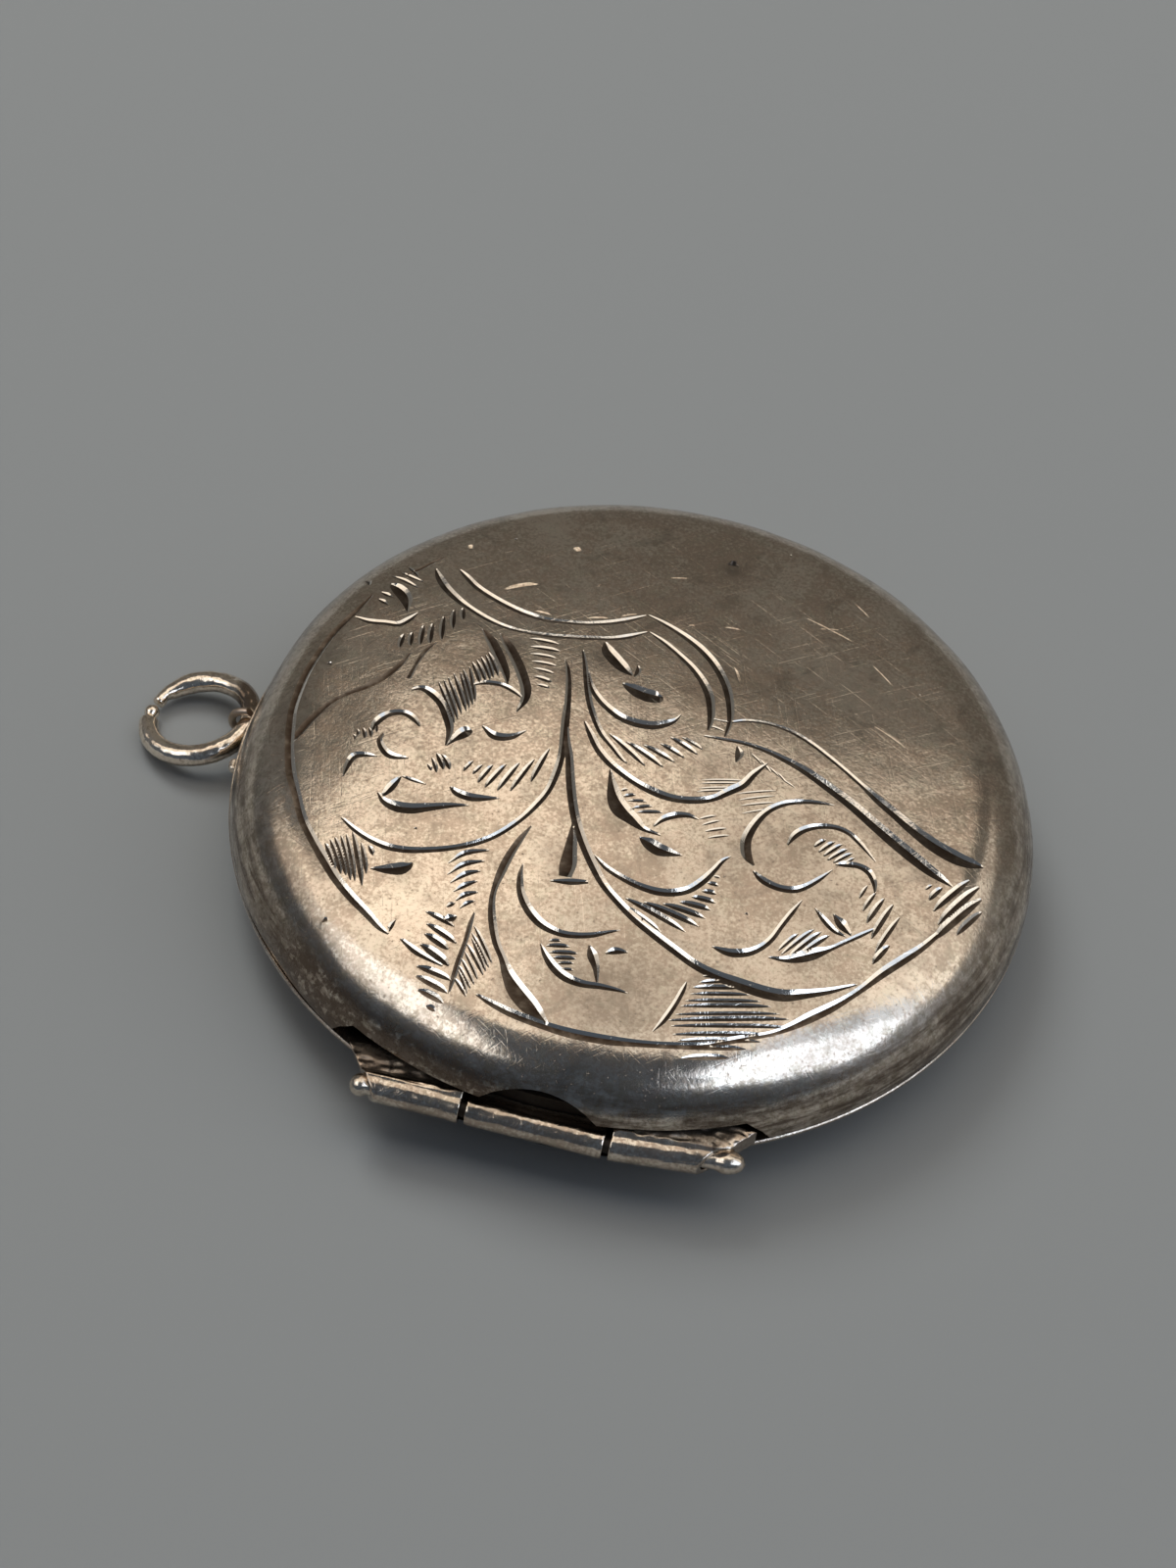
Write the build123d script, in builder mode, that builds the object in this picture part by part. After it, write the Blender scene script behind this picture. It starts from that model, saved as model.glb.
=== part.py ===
"""A round silver locket: two hinged covers, their photo fittings, and a bail ring.

Millimetres, +Z up. The origin is the middle of the flat patch under the back cover, on which
the closed locket lies. The hinge runs along X on the -Y side, and the bail is on the -X side.
Radii and heights in the sections below are measured from the seam between the two covers.
"""
import math
import os

from build123d import *

# Driving dimensions
RIM_RADIUS = 15.0            # outside of both covers at the seam
SHEET = 0.5                  # thickness of the silver sheet
SEAM_GAP = 0.1               # open line between the two covers
CROWN_RADIUS = 130.0         # gentle dome of both faces
FRONT_SHOULDER = 3.0         # rounding from the front face to the rim
FRONT_WALL_TOP = 0.14        # where that rounding starts
BACK_SHOULDER = 4.5          # rounding of the shallow back
BACK_LIP = 0.15              # thin straight edge of the back
BACK_LEAN = 41.0             # degrees below level that the back faces just under its lip
BACK_DEPTH = 2.1             # seam to the flat patch

HINGE_Y = -14.7
HINGE_Z = 0.12               # above the seam
KNUCKLE_RADIUS = 0.55
PIN_RADIUS = 0.3
PIN_HEAD_RADIUS = 0.42
PIN_HALF_LENGTH = 7.05
PIN_SHIFT = 0.3              # the pin stands out further at its +X end
PIN_CLEARANCE = 0.04
MIDDLE_HALF_LENGTH = 2.4
KNUCKLE_GAP = 0.22
HINGE_GROOVE_GAP = 0.06      # between the knuckles and the groove in the back cover
OUTER_KNUCKLE_END = 5.6      # where the end of an outer knuckle meets its front
EAR_TIP_X = 7.35
NOTCH_HEIGHT = 1.05          # the front cover is cut away this high over the hinge
NOTCH_HALF_LENGTH = 7.5
NOTCH_CORNER = 0.5
ARCH_HEIGHT = 1.85           # and this high over the middle knuckle
WEB_TOP = 0.8                # top of the webs that join the outer knuckles to the back cover
WEB_INNER_RADIUS = 14.45     # lets the front bezel swing out past those webs
NAIL_NICK_RADIUS = 8.0
NAIL_NICK_DEPTH = 0.25
NAIL_NICK_HEIGHT = 0.5

SNAP_RADIUS = 13.8           # outside of the rim that the front cover closes over
SNAP_FIT = 0.08
SNAP_TOP = 0.75
BEZEL_RADIUS = 13.4          # inside both bezels
LEDGE_RADIUS = 12.2          # inner edge of the ledges that the cards lie on
FLANGE_RADIUS = 14.06        # foot of the back bezel against the back cover
SOCKET_OUTSIDE = 14.12       # outside of the front bezel where it closes over the back one
FRONT_BEZEL_RADIUS = 13.75   # outside of the front bezel above that
BACK_LEDGE = -0.25           # heights of the two ledges
FRONT_LEDGE = 1.62
CARD_RADIUS = 13.15
CARD = 0.25
WINDOW = 0.2
STACK_GAP = 0.02
FRAME_RADIUS = 13.33
FRAME_HEIGHT = 0.34
SIGHT_RADIUS = 11.6          # what can be seen of each photo card

BAIL_Y = 0.6
PIVOT_X = -15.25             # the ring's wire where it passes through the eyelet
PIVOT_Z = -0.92
RING_RADIUS = 2.0            # to the middle of the wire
RING_WIRE = 0.43
EYELET_HOLE = 0.51
EYELET_WIRE = 0.15
SEAT_HALF_ANGLE = 8.3
SEAT_THICKNESS = 0.22
SEAT_LEANS = (43, 49, 55)    # where on the back's shoulder the seat starts and ends
SOLDER_GAP = 0.01
RING_CUT = 8                 # degrees of the ring that are missing at its open joint
RING_CUT_TURN = -19          # where the middle of that joint is, from the ring's far end
TABLE_CLEARANCE = 0.01

# Worked out from them
SEAM_Z = BACK_DEPTH
RING_DROOP = math.degrees(
    math.asin((BACK_DEPTH + PIVOT_Z - RING_WIRE - TABLE_CLEARANCE) / (2 * RING_RADIUS))
)
SEAM = Plane.XY.offset(SEAM_Z)


def section_at(azimuth):
    """An upright plane through Z: radius to the right, height above the seam up."""
    angle = math.radians(azimuth)
    outwards = (math.cos(angle), math.sin(angle), 0)
    return Plane((0, 0, SEAM_Z), x_dir=outwards, z_dir=(outwards[1], -outwards[0], 0))


SECTION = section_at(0)
ACROSS = Plane((0, 0, SEAM_Z), x_dir=(0, 1, 0), z_dir=(1, 0, 0))       # seen along the hinge

parts = {}


def keep(name, piece):
    """Label a finished piece and hold it for export."""
    piece.part.label = name
    parts[name] = piece.part


def point_at(centre, radius, degrees):
    angle = math.radians(degrees)
    return (centre[0] + radius * math.cos(angle), centre[1] + radius * math.sin(angle))


# Outlines of the two shells, each offset inwards by `inset`

def front_face(inset):
    """Rim, shoulder and crown of the front cover as points on its arcs."""
    shoulder = FRONT_SHOULDER - inset
    centre = (RIM_RADIUS - FRONT_SHOULDER, FRONT_WALL_TOP)
    crown_centre = FRONT_WALL_TOP - math.sqrt((CROWN_RADIUS - FRONT_SHOULDER) ** 2 - centre[0] ** 2)
    tangent = math.degrees(math.atan2(centre[1] - crown_centre, centre[0]))
    crown = CROWN_RADIUS - inset
    return {
        "rim": point_at(centre, shoulder, 0),
        "shoulder_mid": point_at(centre, shoulder, tangent / 2),
        "shoulder_end": point_at(centre, shoulder, tangent),
        "crown_mid": point_at((0, crown_centre), crown, (tangent + 90) / 2),
        "top": (0, crown_centre + crown),
    }


BACK_CENTRE = (
    RIM_RADIUS - BACK_SHOULDER * math.cos(math.radians(BACK_LEAN)),
    BACK_SHOULDER * math.sin(math.radians(BACK_LEAN)) - BACK_LIP,
)


def back_point(inset, lean):
    """A point on the back's shoulder where it faces `lean` degrees below level."""
    return point_at(BACK_CENTRE, BACK_SHOULDER - inset, -lean)


def back_face(inset, upper_edge):
    """Shoulder and crown of the back cover, from `upper_edge` down to its flat patch."""
    crown_centre = BACK_CENTRE[1] + math.sqrt(
        (CROWN_RADIUS - BACK_SHOULDER) ** 2 - BACK_CENTRE[0] ** 2
    )
    first = math.degrees(math.asin((BACK_CENTRE[1] - upper_edge) / (BACK_SHOULDER - inset)))
    last = math.degrees(math.atan2(crown_centre - BACK_CENTRE[1], BACK_CENTRE[0]))
    crown = CROWN_RADIUS - inset
    flat = BACK_DEPTH - inset
    flat_lean = math.degrees(math.asin((crown_centre + flat) / crown))
    return {
        "rim": back_point(inset, first),
        "shoulder_mid": back_point(inset, (first + last) / 2),
        "shoulder_end": back_point(inset, last),
        "crown_mid": point_at((0, crown_centre), crown, -(last + flat_lean) / 2),
        "flat_edge": point_at((0, crown_centre), crown, -flat_lean),
        "middle": (0, -flat),
    }


def turned_piece(name, points):
    """A piece turned about Z from a closed outline of (radius, height) points."""
    with BuildPart() as turned:
        with BuildSketch(SECTION):
            with BuildLine():
                Polyline(*points, close=True)
            make_face()
        revolve(axis=Axis.Z)
    keep(name, turned)


# Front cover: a domed shell, cut away over the hinge, with a nick for a thumb nail

outer = front_face(0)
inner = front_face(SHEET)
with BuildPart() as front_cover:
    with BuildSketch(SECTION):
        with BuildLine():
            Line((inner["rim"][0], SEAM_GAP), (RIM_RADIUS, SEAM_GAP))
            Line((RIM_RADIUS, SEAM_GAP), outer["rim"])
            ThreePointArc(outer["rim"], outer["shoulder_mid"], outer["shoulder_end"])
            ThreePointArc(outer["shoulder_end"], outer["crown_mid"], outer["top"])
            Line(outer["top"], inner["top"])
            ThreePointArc(inner["top"], inner["crown_mid"], inner["shoulder_end"])
            ThreePointArc(inner["shoulder_end"], inner["shoulder_mid"], inner["rim"])
            Line(inner["rim"], (inner["rim"][0], SEAM_GAP))
        make_face()
    revolve(axis=Axis.Z)
    with BuildSketch(Plane.XZ.offset(LEDGE_RADIUS)):
        with Locations((0, SEAM_Z)):
            notch = Rectangle(2 * NOTCH_HALF_LENGTH, 2 * NOTCH_HEIGHT)
            chamfer(notch.vertices(), NOTCH_CORNER)
            Ellipse(MIDDLE_HALF_LENGTH + KNUCKLE_GAP / 2, ARCH_HEIGHT)
    extrude(amount=RIM_RADIUS, mode=Mode.SUBTRACT)
    with BuildSketch(SEAM.offset(SEAM_GAP)):
        with Locations((0, RIM_RADIUS - NAIL_NICK_DEPTH + NAIL_NICK_RADIUS)):
            Circle(NAIL_NICK_RADIUS)
    extrude(amount=NAIL_NICK_HEIGHT, mode=Mode.SUBTRACT)
keep("front_cover", front_cover)

# Back cover: a shallow dish with a flat patch, grooved for the hinge

outer = back_face(0, -BACK_LIP)
inner = back_face(SHEET, 0)
with BuildPart() as back_cover:
    with BuildSketch(SECTION):
        with BuildLine():
            Line(inner["rim"], (RIM_RADIUS, 0))
            Line((RIM_RADIUS, 0), outer["rim"])
            ThreePointArc(outer["rim"], outer["shoulder_mid"], outer["shoulder_end"])
            ThreePointArc(outer["shoulder_end"], outer["crown_mid"], outer["flat_edge"])
            Line(outer["flat_edge"], outer["middle"])
            Line(outer["middle"], inner["middle"])
            Line(inner["middle"], inner["flat_edge"])
            ThreePointArc(inner["flat_edge"], inner["crown_mid"], inner["shoulder_end"])
            ThreePointArc(inner["shoulder_end"], inner["shoulder_mid"], inner["rim"])
        make_face()
    revolve(axis=Axis.Z)
    with BuildSketch(ACROSS):
        with Locations((HINGE_Y, HINGE_Z)):
            Circle(KNUCKLE_RADIUS + HINGE_GROOVE_GAP)
    extrude(amount=OUTER_KNUCKLE_END, both=True, mode=Mode.SUBTRACT)
keep("back_cover", back_cover)

# Bezels: thin fixed rims inside the covers, each with a ledge that its photo card lies on.
# The back one stands up through the seam, and the front one closes over it.

FLANGE_TOP = -0.02
FLANGE_BOTTOM = -0.2
LEDGE_BOTTOM = BACK_LEDGE - 0.25
turned_piece("back_bezel", [
    (LEDGE_RADIUS, LEDGE_BOTTOM), (SNAP_RADIUS, LEDGE_BOTTOM), (SNAP_RADIUS, FLANGE_BOTTOM),
    (FLANGE_RADIUS, FLANGE_BOTTOM), (FLANGE_RADIUS, FLANGE_TOP), (SNAP_RADIUS, FLANGE_TOP),
    (SNAP_RADIUS, SNAP_TOP), (BEZEL_RADIUS, SNAP_TOP), (BEZEL_RADIUS, BACK_LEDGE),
    (LEDGE_RADIUS, BACK_LEDGE),
])

SOCKET_RADIUS = SNAP_RADIUS + SNAP_FIT
SOCKET_BOTTOM = SEAM_GAP + 0.05
SOCKET_TOP = SNAP_TOP + 0.1
STEP_TOP = SOCKET_TOP + 0.25
LEDGE_TOP = FRONT_LEDGE + 0.28
turned_piece("front_bezel", [
    (SOCKET_RADIUS, SOCKET_BOTTOM), (SOCKET_OUTSIDE, SOCKET_BOTTOM), (SOCKET_OUTSIDE, STEP_TOP),
    (FRONT_BEZEL_RADIUS, STEP_TOP), (FRONT_BEZEL_RADIUS, LEDGE_TOP), (LEDGE_RADIUS, LEDGE_TOP),
    (LEDGE_RADIUS, FRONT_LEDGE), (BEZEL_RADIUS, FRONT_LEDGE), (BEZEL_RADIUS, SOCKET_TOP),
    (SOCKET_RADIUS, SOCKET_TOP),
])

# Photo cards, their clear covers and the frames that hold them down


def disc(name, radius, bottom, height):
    with BuildPart() as plate:
        with BuildSketch(SEAM.offset(bottom)):
            Circle(radius)
        extrude(amount=height)
    keep(name, plate)


disc("back_photo_card", CARD_RADIUS, BACK_LEDGE, CARD)
disc("back_window", CARD_RADIUS, BACK_LEDGE + CARD + STACK_GAP, WINDOW)
disc("front_photo_card", CARD_RADIUS, FRONT_LEDGE - CARD, CARD)
disc("front_window", CARD_RADIUS, FRONT_LEDGE - CARD - STACK_GAP - WINDOW, WINDOW)


def photo_frame(name, against_window, outwards):
    """A ring with a tall outer wall and a thin, bevelled lip round the photo."""
    top = against_window + outwards * FRAME_HEIGHT
    lip_top = against_window + outwards * FRAME_HEIGHT / 2
    lip_edge = against_window + outwards * FRAME_HEIGHT / 4
    turned_piece(name, [
        (SIGHT_RADIUS, against_window), (FRAME_RADIUS, against_window), (FRAME_RADIUS, top),
        (FRAME_RADIUS - 0.5, top), (FRAME_RADIUS - 0.75, lip_top),
        (SIGHT_RADIUS + 0.2, lip_top), (SIGHT_RADIUS, lip_edge),
    ])


STACK = CARD + WINDOW + 2 * STACK_GAP
photo_frame("back_photo_frame", BACK_LEDGE + STACK, 1)
photo_frame("front_photo_frame", FRONT_LEDGE - STACK, -1)

# Hinge: a middle knuckle on the front cover, two outer knuckles on the back cover, and a pin

MIDDLE_WEB_BOTTOM = 0.2
MIDDLE_WEB_TOP = 0.5
with BuildPart() as hinge_knuckle_middle:
    with BuildSketch(ACROSS):
        with BuildLine():
            Polyline(
                (HINGE_Y, MIDDLE_WEB_BOTTOM), (-BEZEL_RADIUS, MIDDLE_WEB_BOTTOM),
                (-BEZEL_RADIUS, MIDDLE_WEB_TOP), (HINGE_Y, MIDDLE_WEB_TOP), close=True,
            )
        make_face()
    extrude(amount=MIDDLE_HALF_LENGTH, both=True)
    with BuildSketch(SEAM):
        Circle(SOCKET_OUTSIDE + 0.02)
    extrude(amount=MIDDLE_WEB_TOP, mode=Mode.SUBTRACT)
    with BuildSketch(ACROSS):
        with Locations((HINGE_Y, HINGE_Z)):
            Circle(KNUCKLE_RADIUS)
    extrude(amount=MIDDLE_HALF_LENGTH, both=True)
    with BuildSketch(ACROSS):
        with Locations((HINGE_Y, HINGE_Z)):
            Circle(PIN_RADIUS + PIN_CLEARANCE)
    extrude(amount=MIDDLE_HALF_LENGTH, both=True, mode=Mode.SUBTRACT)
keep("hinge_knuckle_middle", hinge_knuckle_middle)

WEB_BOTTOM = 0.02
EAR_TIP_Y = -math.sqrt(RIM_RADIUS ** 2 - EAR_TIP_X ** 2) - 0.05
FRONT_Y = HINGE_Y - KNUCKLE_RADIUS


def outer_knuckle(name, side):
    """A tube with a web to the rim, both filed off along one slanting face at the free end."""
    start = MIDDLE_HALF_LENGTH + KNUCKLE_GAP
    direction = (side, 0, 0)
    across = Plane((side * start, 0, SEAM_Z), x_dir=(0, 1, 0), z_dir=direction)
    turn = side                       # the plane's second direction points down on the -X side
    with BuildPart() as knuckle:
        with BuildSketch(across):
            with BuildLine():
                Polyline(
                    (HINGE_Y, turn * WEB_BOTTOM), (EAR_TIP_Y, turn * WEB_BOTTOM),
                    (EAR_TIP_Y, turn * WEB_TOP), (-WEB_INNER_RADIUS, turn * WEB_TOP),
                    (HINGE_Y, turn * (HINGE_Z + KNUCKLE_RADIUS)), close=True,
                )
            make_face()
        extrude(amount=EAR_TIP_X - start)
        with BuildSketch(SEAM):
            Circle(WEB_INNER_RADIUS)
        extrude(amount=WEB_TOP, mode=Mode.SUBTRACT)
        with BuildSketch(across):
            with Locations((HINGE_Y, turn * HINGE_Z)):
                Circle(KNUCKLE_RADIUS)
        extrude(amount=EAR_TIP_X - start)
        with BuildSketch(SEAM):
            with BuildLine():
                Polyline(
                    (side * OUTER_KNUCKLE_END, FRONT_Y - 0.01), (side * EAR_TIP_X, EAR_TIP_Y),
                    (side * EAR_TIP_X, FRONT_Y - 0.01), close=True,
                )
            make_face()
        extrude(amount=1, both=True, mode=Mode.SUBTRACT)
        with BuildSketch(across):
            with Locations((HINGE_Y, turn * HINGE_Z)):
                Circle(PIN_RADIUS + PIN_CLEARANCE)
        extrude(amount=EAR_TIP_X, mode=Mode.SUBTRACT)
    keep(name, knuckle)


outer_knuckle("hinge_knuckle_left", -1)
outer_knuckle("hinge_knuckle_right", 1)

HEAD_START = PIN_HALF_LENGTH - 1.4 * PIN_HEAD_RADIUS
HEAD_CENTRE = PIN_HALF_LENGTH - PIN_HEAD_RADIUS
HEAD_DIAGONAL = PIN_HEAD_RADIUS / math.sqrt(2)
PIN_CENTRE = (PIN_SHIFT, HINGE_Y, SEAM_Z + HINGE_Z)
with BuildPart() as hinge_pin:
    with BuildSketch(Plane(PIN_CENTRE, x_dir=(1, 0, 0), z_dir=(0, -1, 0))):
        with BuildLine():
            Polyline((0, 0), (0, PIN_RADIUS), (HEAD_START, PIN_RADIUS), (HEAD_CENTRE, PIN_HEAD_RADIUS))
            ThreePointArc(
                (HEAD_CENTRE, PIN_HEAD_RADIUS),
                (HEAD_CENTRE + HEAD_DIAGONAL, HEAD_DIAGONAL),
                (PIN_HALF_LENGTH, 0),
            )
            Line((PIN_HALF_LENGTH, 0), (0, 0))
        make_face()
    revolve(axis=Axis(PIN_CENTRE, (1, 0, 0)))
    mirror(about=Plane.YZ.offset(PIN_SHIFT))
keep("hinge_pin", hinge_pin)

# Bail: a seat along the back's rim, an eyelet on it, and the ring that passes through the eyelet

SEAT_TURN = 180 - SEAT_HALF_ANGLE - math.degrees(math.asin(BAIL_Y / RIM_RADIUS))
with BuildPart() as bail_seat:
    with BuildSketch(section_at(SEAT_TURN)):
        with BuildLine():
            against_back = [back_point(-SOLDER_GAP, lean) for lean in SEAT_LEANS]
            outside = [back_point(-SEAT_THICKNESS, lean) for lean in SEAT_LEANS]
            ThreePointArc(*against_back)
            ThreePointArc(*outside)
            Line(against_back[0], outside[0])
            Line(against_back[-1], outside[-1])
        make_face()
    revolve(axis=Axis.Z, revolution_arc=2 * SEAT_HALF_ANGLE)
keep("bail_seat", bail_seat)

EYELET_CENTRE = (PIVOT_X, BAIL_Y, SEAM_Z + PIVOT_Z)
with BuildPart() as bail_eyelet:
    with BuildSketch(Plane(EYELET_CENTRE, x_dir=(0, 1, 0), z_dir=(1, 0, 0))):
        with Locations((0, EYELET_HOLE + EYELET_WIRE)):
            Circle(EYELET_WIRE)
    revolve(axis=Axis(EYELET_CENTRE, (0, 1, 0)))
    with BuildSketch(SECTION):
        with BuildLine():
            seat_face = [back_point(-SEAT_THICKNESS - SOLDER_GAP, lean) for lean in (20, 50, 80)]
            ThreePointArc(*seat_face)
            Line(seat_face[-1], BACK_CENTRE)
            Line(BACK_CENTRE, seat_face[0])
        make_face()
    revolve(axis=Axis.Z, mode=Mode.SUBTRACT)
keep("bail_eyelet", bail_eyelet)

droop = math.radians(RING_DROOP)
along = Vector(-math.cos(droop), 0, -math.sin(droop))
ring_axis = Vector(-math.sin(droop), 0, math.cos(droop))
ring_centre = Vector(EYELET_CENTRE) + along * RING_RADIUS
wire_end = along.rotate(Axis((0, 0, 0), ring_axis), RING_CUT_TURN + RING_CUT / 2)
with BuildPart() as jump_ring:
    with BuildSketch(Plane(ring_centre, x_dir=wire_end, z_dir=ring_axis.cross(wire_end))):
        with Locations((RING_RADIUS, 0)):
            Circle(RING_WIRE)
    revolve(axis=Axis(ring_centre, ring_axis), revolution_arc=360 - RING_CUT)
keep("jump_ring", jump_ring)

os.makedirs("parts", exist_ok=True)
for name, part in parts.items():
    export_step(part, f"parts/{name}.step")
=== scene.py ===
"""The looks of a round engraved silver locket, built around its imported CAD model.

Lengths in this script are millimetres, in the frame of the CAD model, and heights called `above
seam` are measured from the line between the two covers. They become metres in new_piece().
"""
import math
import random

import bpy
import numpy as np
from mathutils import Matrix, Vector, noise
from mathutils.geometry import delaunay_2d_cdt


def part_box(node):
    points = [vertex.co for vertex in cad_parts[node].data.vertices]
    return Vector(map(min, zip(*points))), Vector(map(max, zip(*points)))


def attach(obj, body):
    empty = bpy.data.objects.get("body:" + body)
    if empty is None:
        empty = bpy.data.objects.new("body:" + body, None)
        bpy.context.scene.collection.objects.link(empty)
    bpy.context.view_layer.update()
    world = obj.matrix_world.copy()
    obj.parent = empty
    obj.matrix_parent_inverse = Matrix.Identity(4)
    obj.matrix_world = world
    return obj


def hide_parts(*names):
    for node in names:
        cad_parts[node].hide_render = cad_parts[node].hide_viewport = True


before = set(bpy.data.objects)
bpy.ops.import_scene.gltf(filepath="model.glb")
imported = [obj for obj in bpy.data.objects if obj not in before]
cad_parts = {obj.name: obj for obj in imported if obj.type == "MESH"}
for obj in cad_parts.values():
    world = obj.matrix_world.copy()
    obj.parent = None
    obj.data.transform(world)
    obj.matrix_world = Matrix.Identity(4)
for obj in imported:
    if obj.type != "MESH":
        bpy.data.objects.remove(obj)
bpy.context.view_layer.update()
random.seed(7)

MM = 0.001
SEAM_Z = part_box("back_cover")[1].z / MM
RIM_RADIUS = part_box("front_cover")[1].x / MM

# Shape of the covers, the hinge and the ring, as in the CAD model
SHEET = 0.5
SEAM_GAP = 0.1
CROWN_RADIUS = 130.0
FRONT_SHOULDER = 3.0
FRONT_WALL_TOP = 0.14
SHOULDER_CENTRE = RIM_RADIUS - FRONT_SHOULDER
BACK_SHOULDER = 4.5
BACK_LIP = 0.15
BACK_LEAN = 41.0
NOTCH_HEIGHT = 1.05
NOTCH_HALF_LENGTH = 7.5
NOTCH_CORNER = 0.5
ARCH_HALF_LENGTH = 2.51
ARCH_HEIGHT = 1.85
NICK_RADIUS = 8.0
NICK_DEPTH = 0.25
NICK_TOP = 0.6
HINGE_Y = -14.7
HINGE_Z = 0.12
GROOVE_RADIUS = 0.61
OUTER_KNUCKLE_END = 5.6
KNUCKLE_START = 2.62
PIVOT_X = -15.25            # where the ring hangs in its eyelet
PIVOT_Z = -0.92
BAIL_Y = 0.6
RING_RADIUS = 2.0
RING_WIRE = 0.43
PIN_RADIUS = 0.3
TABLE_CLEARANCE = 0.01

# The ring's open joint, narrower than in the CAD model: its degrees, and where its middle is
RING_CUT = 4.0
RING_CUT_TURN = -12.0

# The engraved disc of the front cover, and the rows and rings of points round it
DISC_RADIUS = 13.95
COLUMNS = 288
PATH_STEP = 0.13            # length of a facet along a cut
BACKGROUND_STEP = 0.42      # size of the plain faces between cuts
ROW_STEP = 0.87             # height of a row of them, and how uneven they are, for each unit of size
JITTER = 0.15
EDGE_STEP = 0.26            # and of those where the face turns down into the shoulder
EDGE_START = 11.7
CLEAR_OF_CUTS = 0.09        # how far those points stay from the lines of the cuts
SHOULDER_ROWS = 22
INNER_ROWS = 7
INNER_RINGS = (9.0, 6.0, 3.0)


def smooth_noise(x, y, z, size):
    """Smooth noise from about -1 to 1 whose features are `size` across."""
    return noise.noise(Vector((x / size, y / size, z / size)))


def hump(value, middle, width):
    """A smooth bump that is 1 at its middle."""
    return math.exp(-((value - middle) / width) ** 2)


def band(upper, lower):
    """The faces between two rings, each given as a list of the numbers of its points."""
    count = len(upper)
    return [
        (upper[i], lower[i], lower[(i + 1) % count], upper[(i + 1) % count]) for i in range(count)
    ]


def tube(rows, sides, point_at):
    """Points and faces of a closed tube, whose rings of points come from point_at(row, side)."""
    points = [point_at(row, side) for row in range(rows + 1) for side in range(sides)]
    rings = [range(row * sides, (row + 1) * sides) for row in range(rows + 1)]
    faces = [face for upper, lower in zip(rings, rings[1:]) for face in band(upper, lower)]
    return points, faces + [tuple(rings[0]), tuple(rings[-1])[::-1]]


def new_piece(name, points, faces, body, material):
    """A mesh object from points in millimetres, riding on a CAD body."""
    mesh = bpy.data.meshes.new(name)
    mesh.from_pydata([tuple(MM * value for value in point) for point in points], [], faces)
    mesh.validate()
    mesh.materials.append(material)
    piece = bpy.data.objects.new(name, mesh)
    bpy.context.scene.collection.objects.link(piece)
    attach(piece, body)
    return piece


# ---------------------------------------------------------------- front cover: shape

CROWN_CENTRE = FRONT_WALL_TOP - math.sqrt(
    (CROWN_RADIUS - FRONT_SHOULDER) ** 2 - SHOULDER_CENTRE ** 2
)
CROWN_TILT = math.atan2(SHOULDER_CENTRE, FRONT_WALL_TOP - CROWN_CENTRE)
CROWN_EDGE = SHOULDER_CENTRE + FRONT_SHOULDER * math.sin(CROWN_TILT)
ARCH_FOOT = ARCH_HALF_LENGTH * math.sqrt(1 - (NOTCH_HEIGHT / ARCH_HEIGHT) ** 2)


def column_angles():
    """Azimuths of the upright columns of faces, evenly spaced but for one at each corner."""
    angles = [360 * i / COLUMNS for i in range(COLUMNS)]
    for x in (NOTCH_HALF_LENGTH, NOTCH_HALF_LENGTH - NOTCH_CORNER, ARCH_FOOT):
        for side in (-1, 1):
            wanted = math.degrees(math.atan2(-math.sqrt(RIM_RADIUS ** 2 - x ** 2), side * x)) % 360
            nearest = min(range(COLUMNS), key=lambda i: abs(angles[i] - wanted))
            angles[nearest] = wanted
    return [math.radians(angle) for angle in angles]


ANGLES = column_angles()


def face_height(radius, inset=0.0):
    """Height above the seam of the front cover's face, or of its inside with an inset."""
    if radius < CROWN_EDGE * (1 - inset / CROWN_RADIUS):
        return CROWN_CENTRE + math.sqrt((CROWN_RADIUS - inset) ** 2 - radius ** 2)
    across = min(radius - SHOULDER_CENTRE, FRONT_SHOULDER - inset)
    return FRONT_WALL_TOP + math.sqrt(max((FRONT_SHOULDER - inset) ** 2 - across ** 2, 0))


# Where the rim is worn or knocked inwards: azimuth, half width in degrees, and depth
KNOCKS = ((176, 16, 0.26), (226, 9, 0.08), (20, 14, 0.05))
KNOCK_TOP = 3.4             # height above the seam at which that wear ends
KNOCK_FADE = 1.5


def wear_in(azimuth, height):
    """How far the rim is worn and knocked inwards at an azimuth in degrees."""
    depth = sum(deep * hump(azimuth, middle, width) for middle, width, deep in KNOCKS)
    return depth * min(1.0, max(0.0, (KNOCK_TOP - height) / KNOCK_FADE))


def dent(x, y):
    """Small unevenness of hand-finished sheet, in millimetres down from the true face."""
    broad = 0.022 * (smooth_noise(x, y, 3.7, 5.0) + 0.6)
    fine = 0.01 * (smooth_noise(x, y, 8.1, 1.5) + 0.6)
    hollow = 0.05 * math.exp(-((x - 5.0) ** 2 + (y - 6.0) ** 2) / 9.0)
    return max(0.0, broad + fine + hollow)


# ---------------------------------------------------------------- front cover: engraving

# A cut is a list of (x, y, width) points along its dark facet. The narrow bright wall is on the
# left of the direction in which the points run, and `wall` is its width against the facet's.

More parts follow.
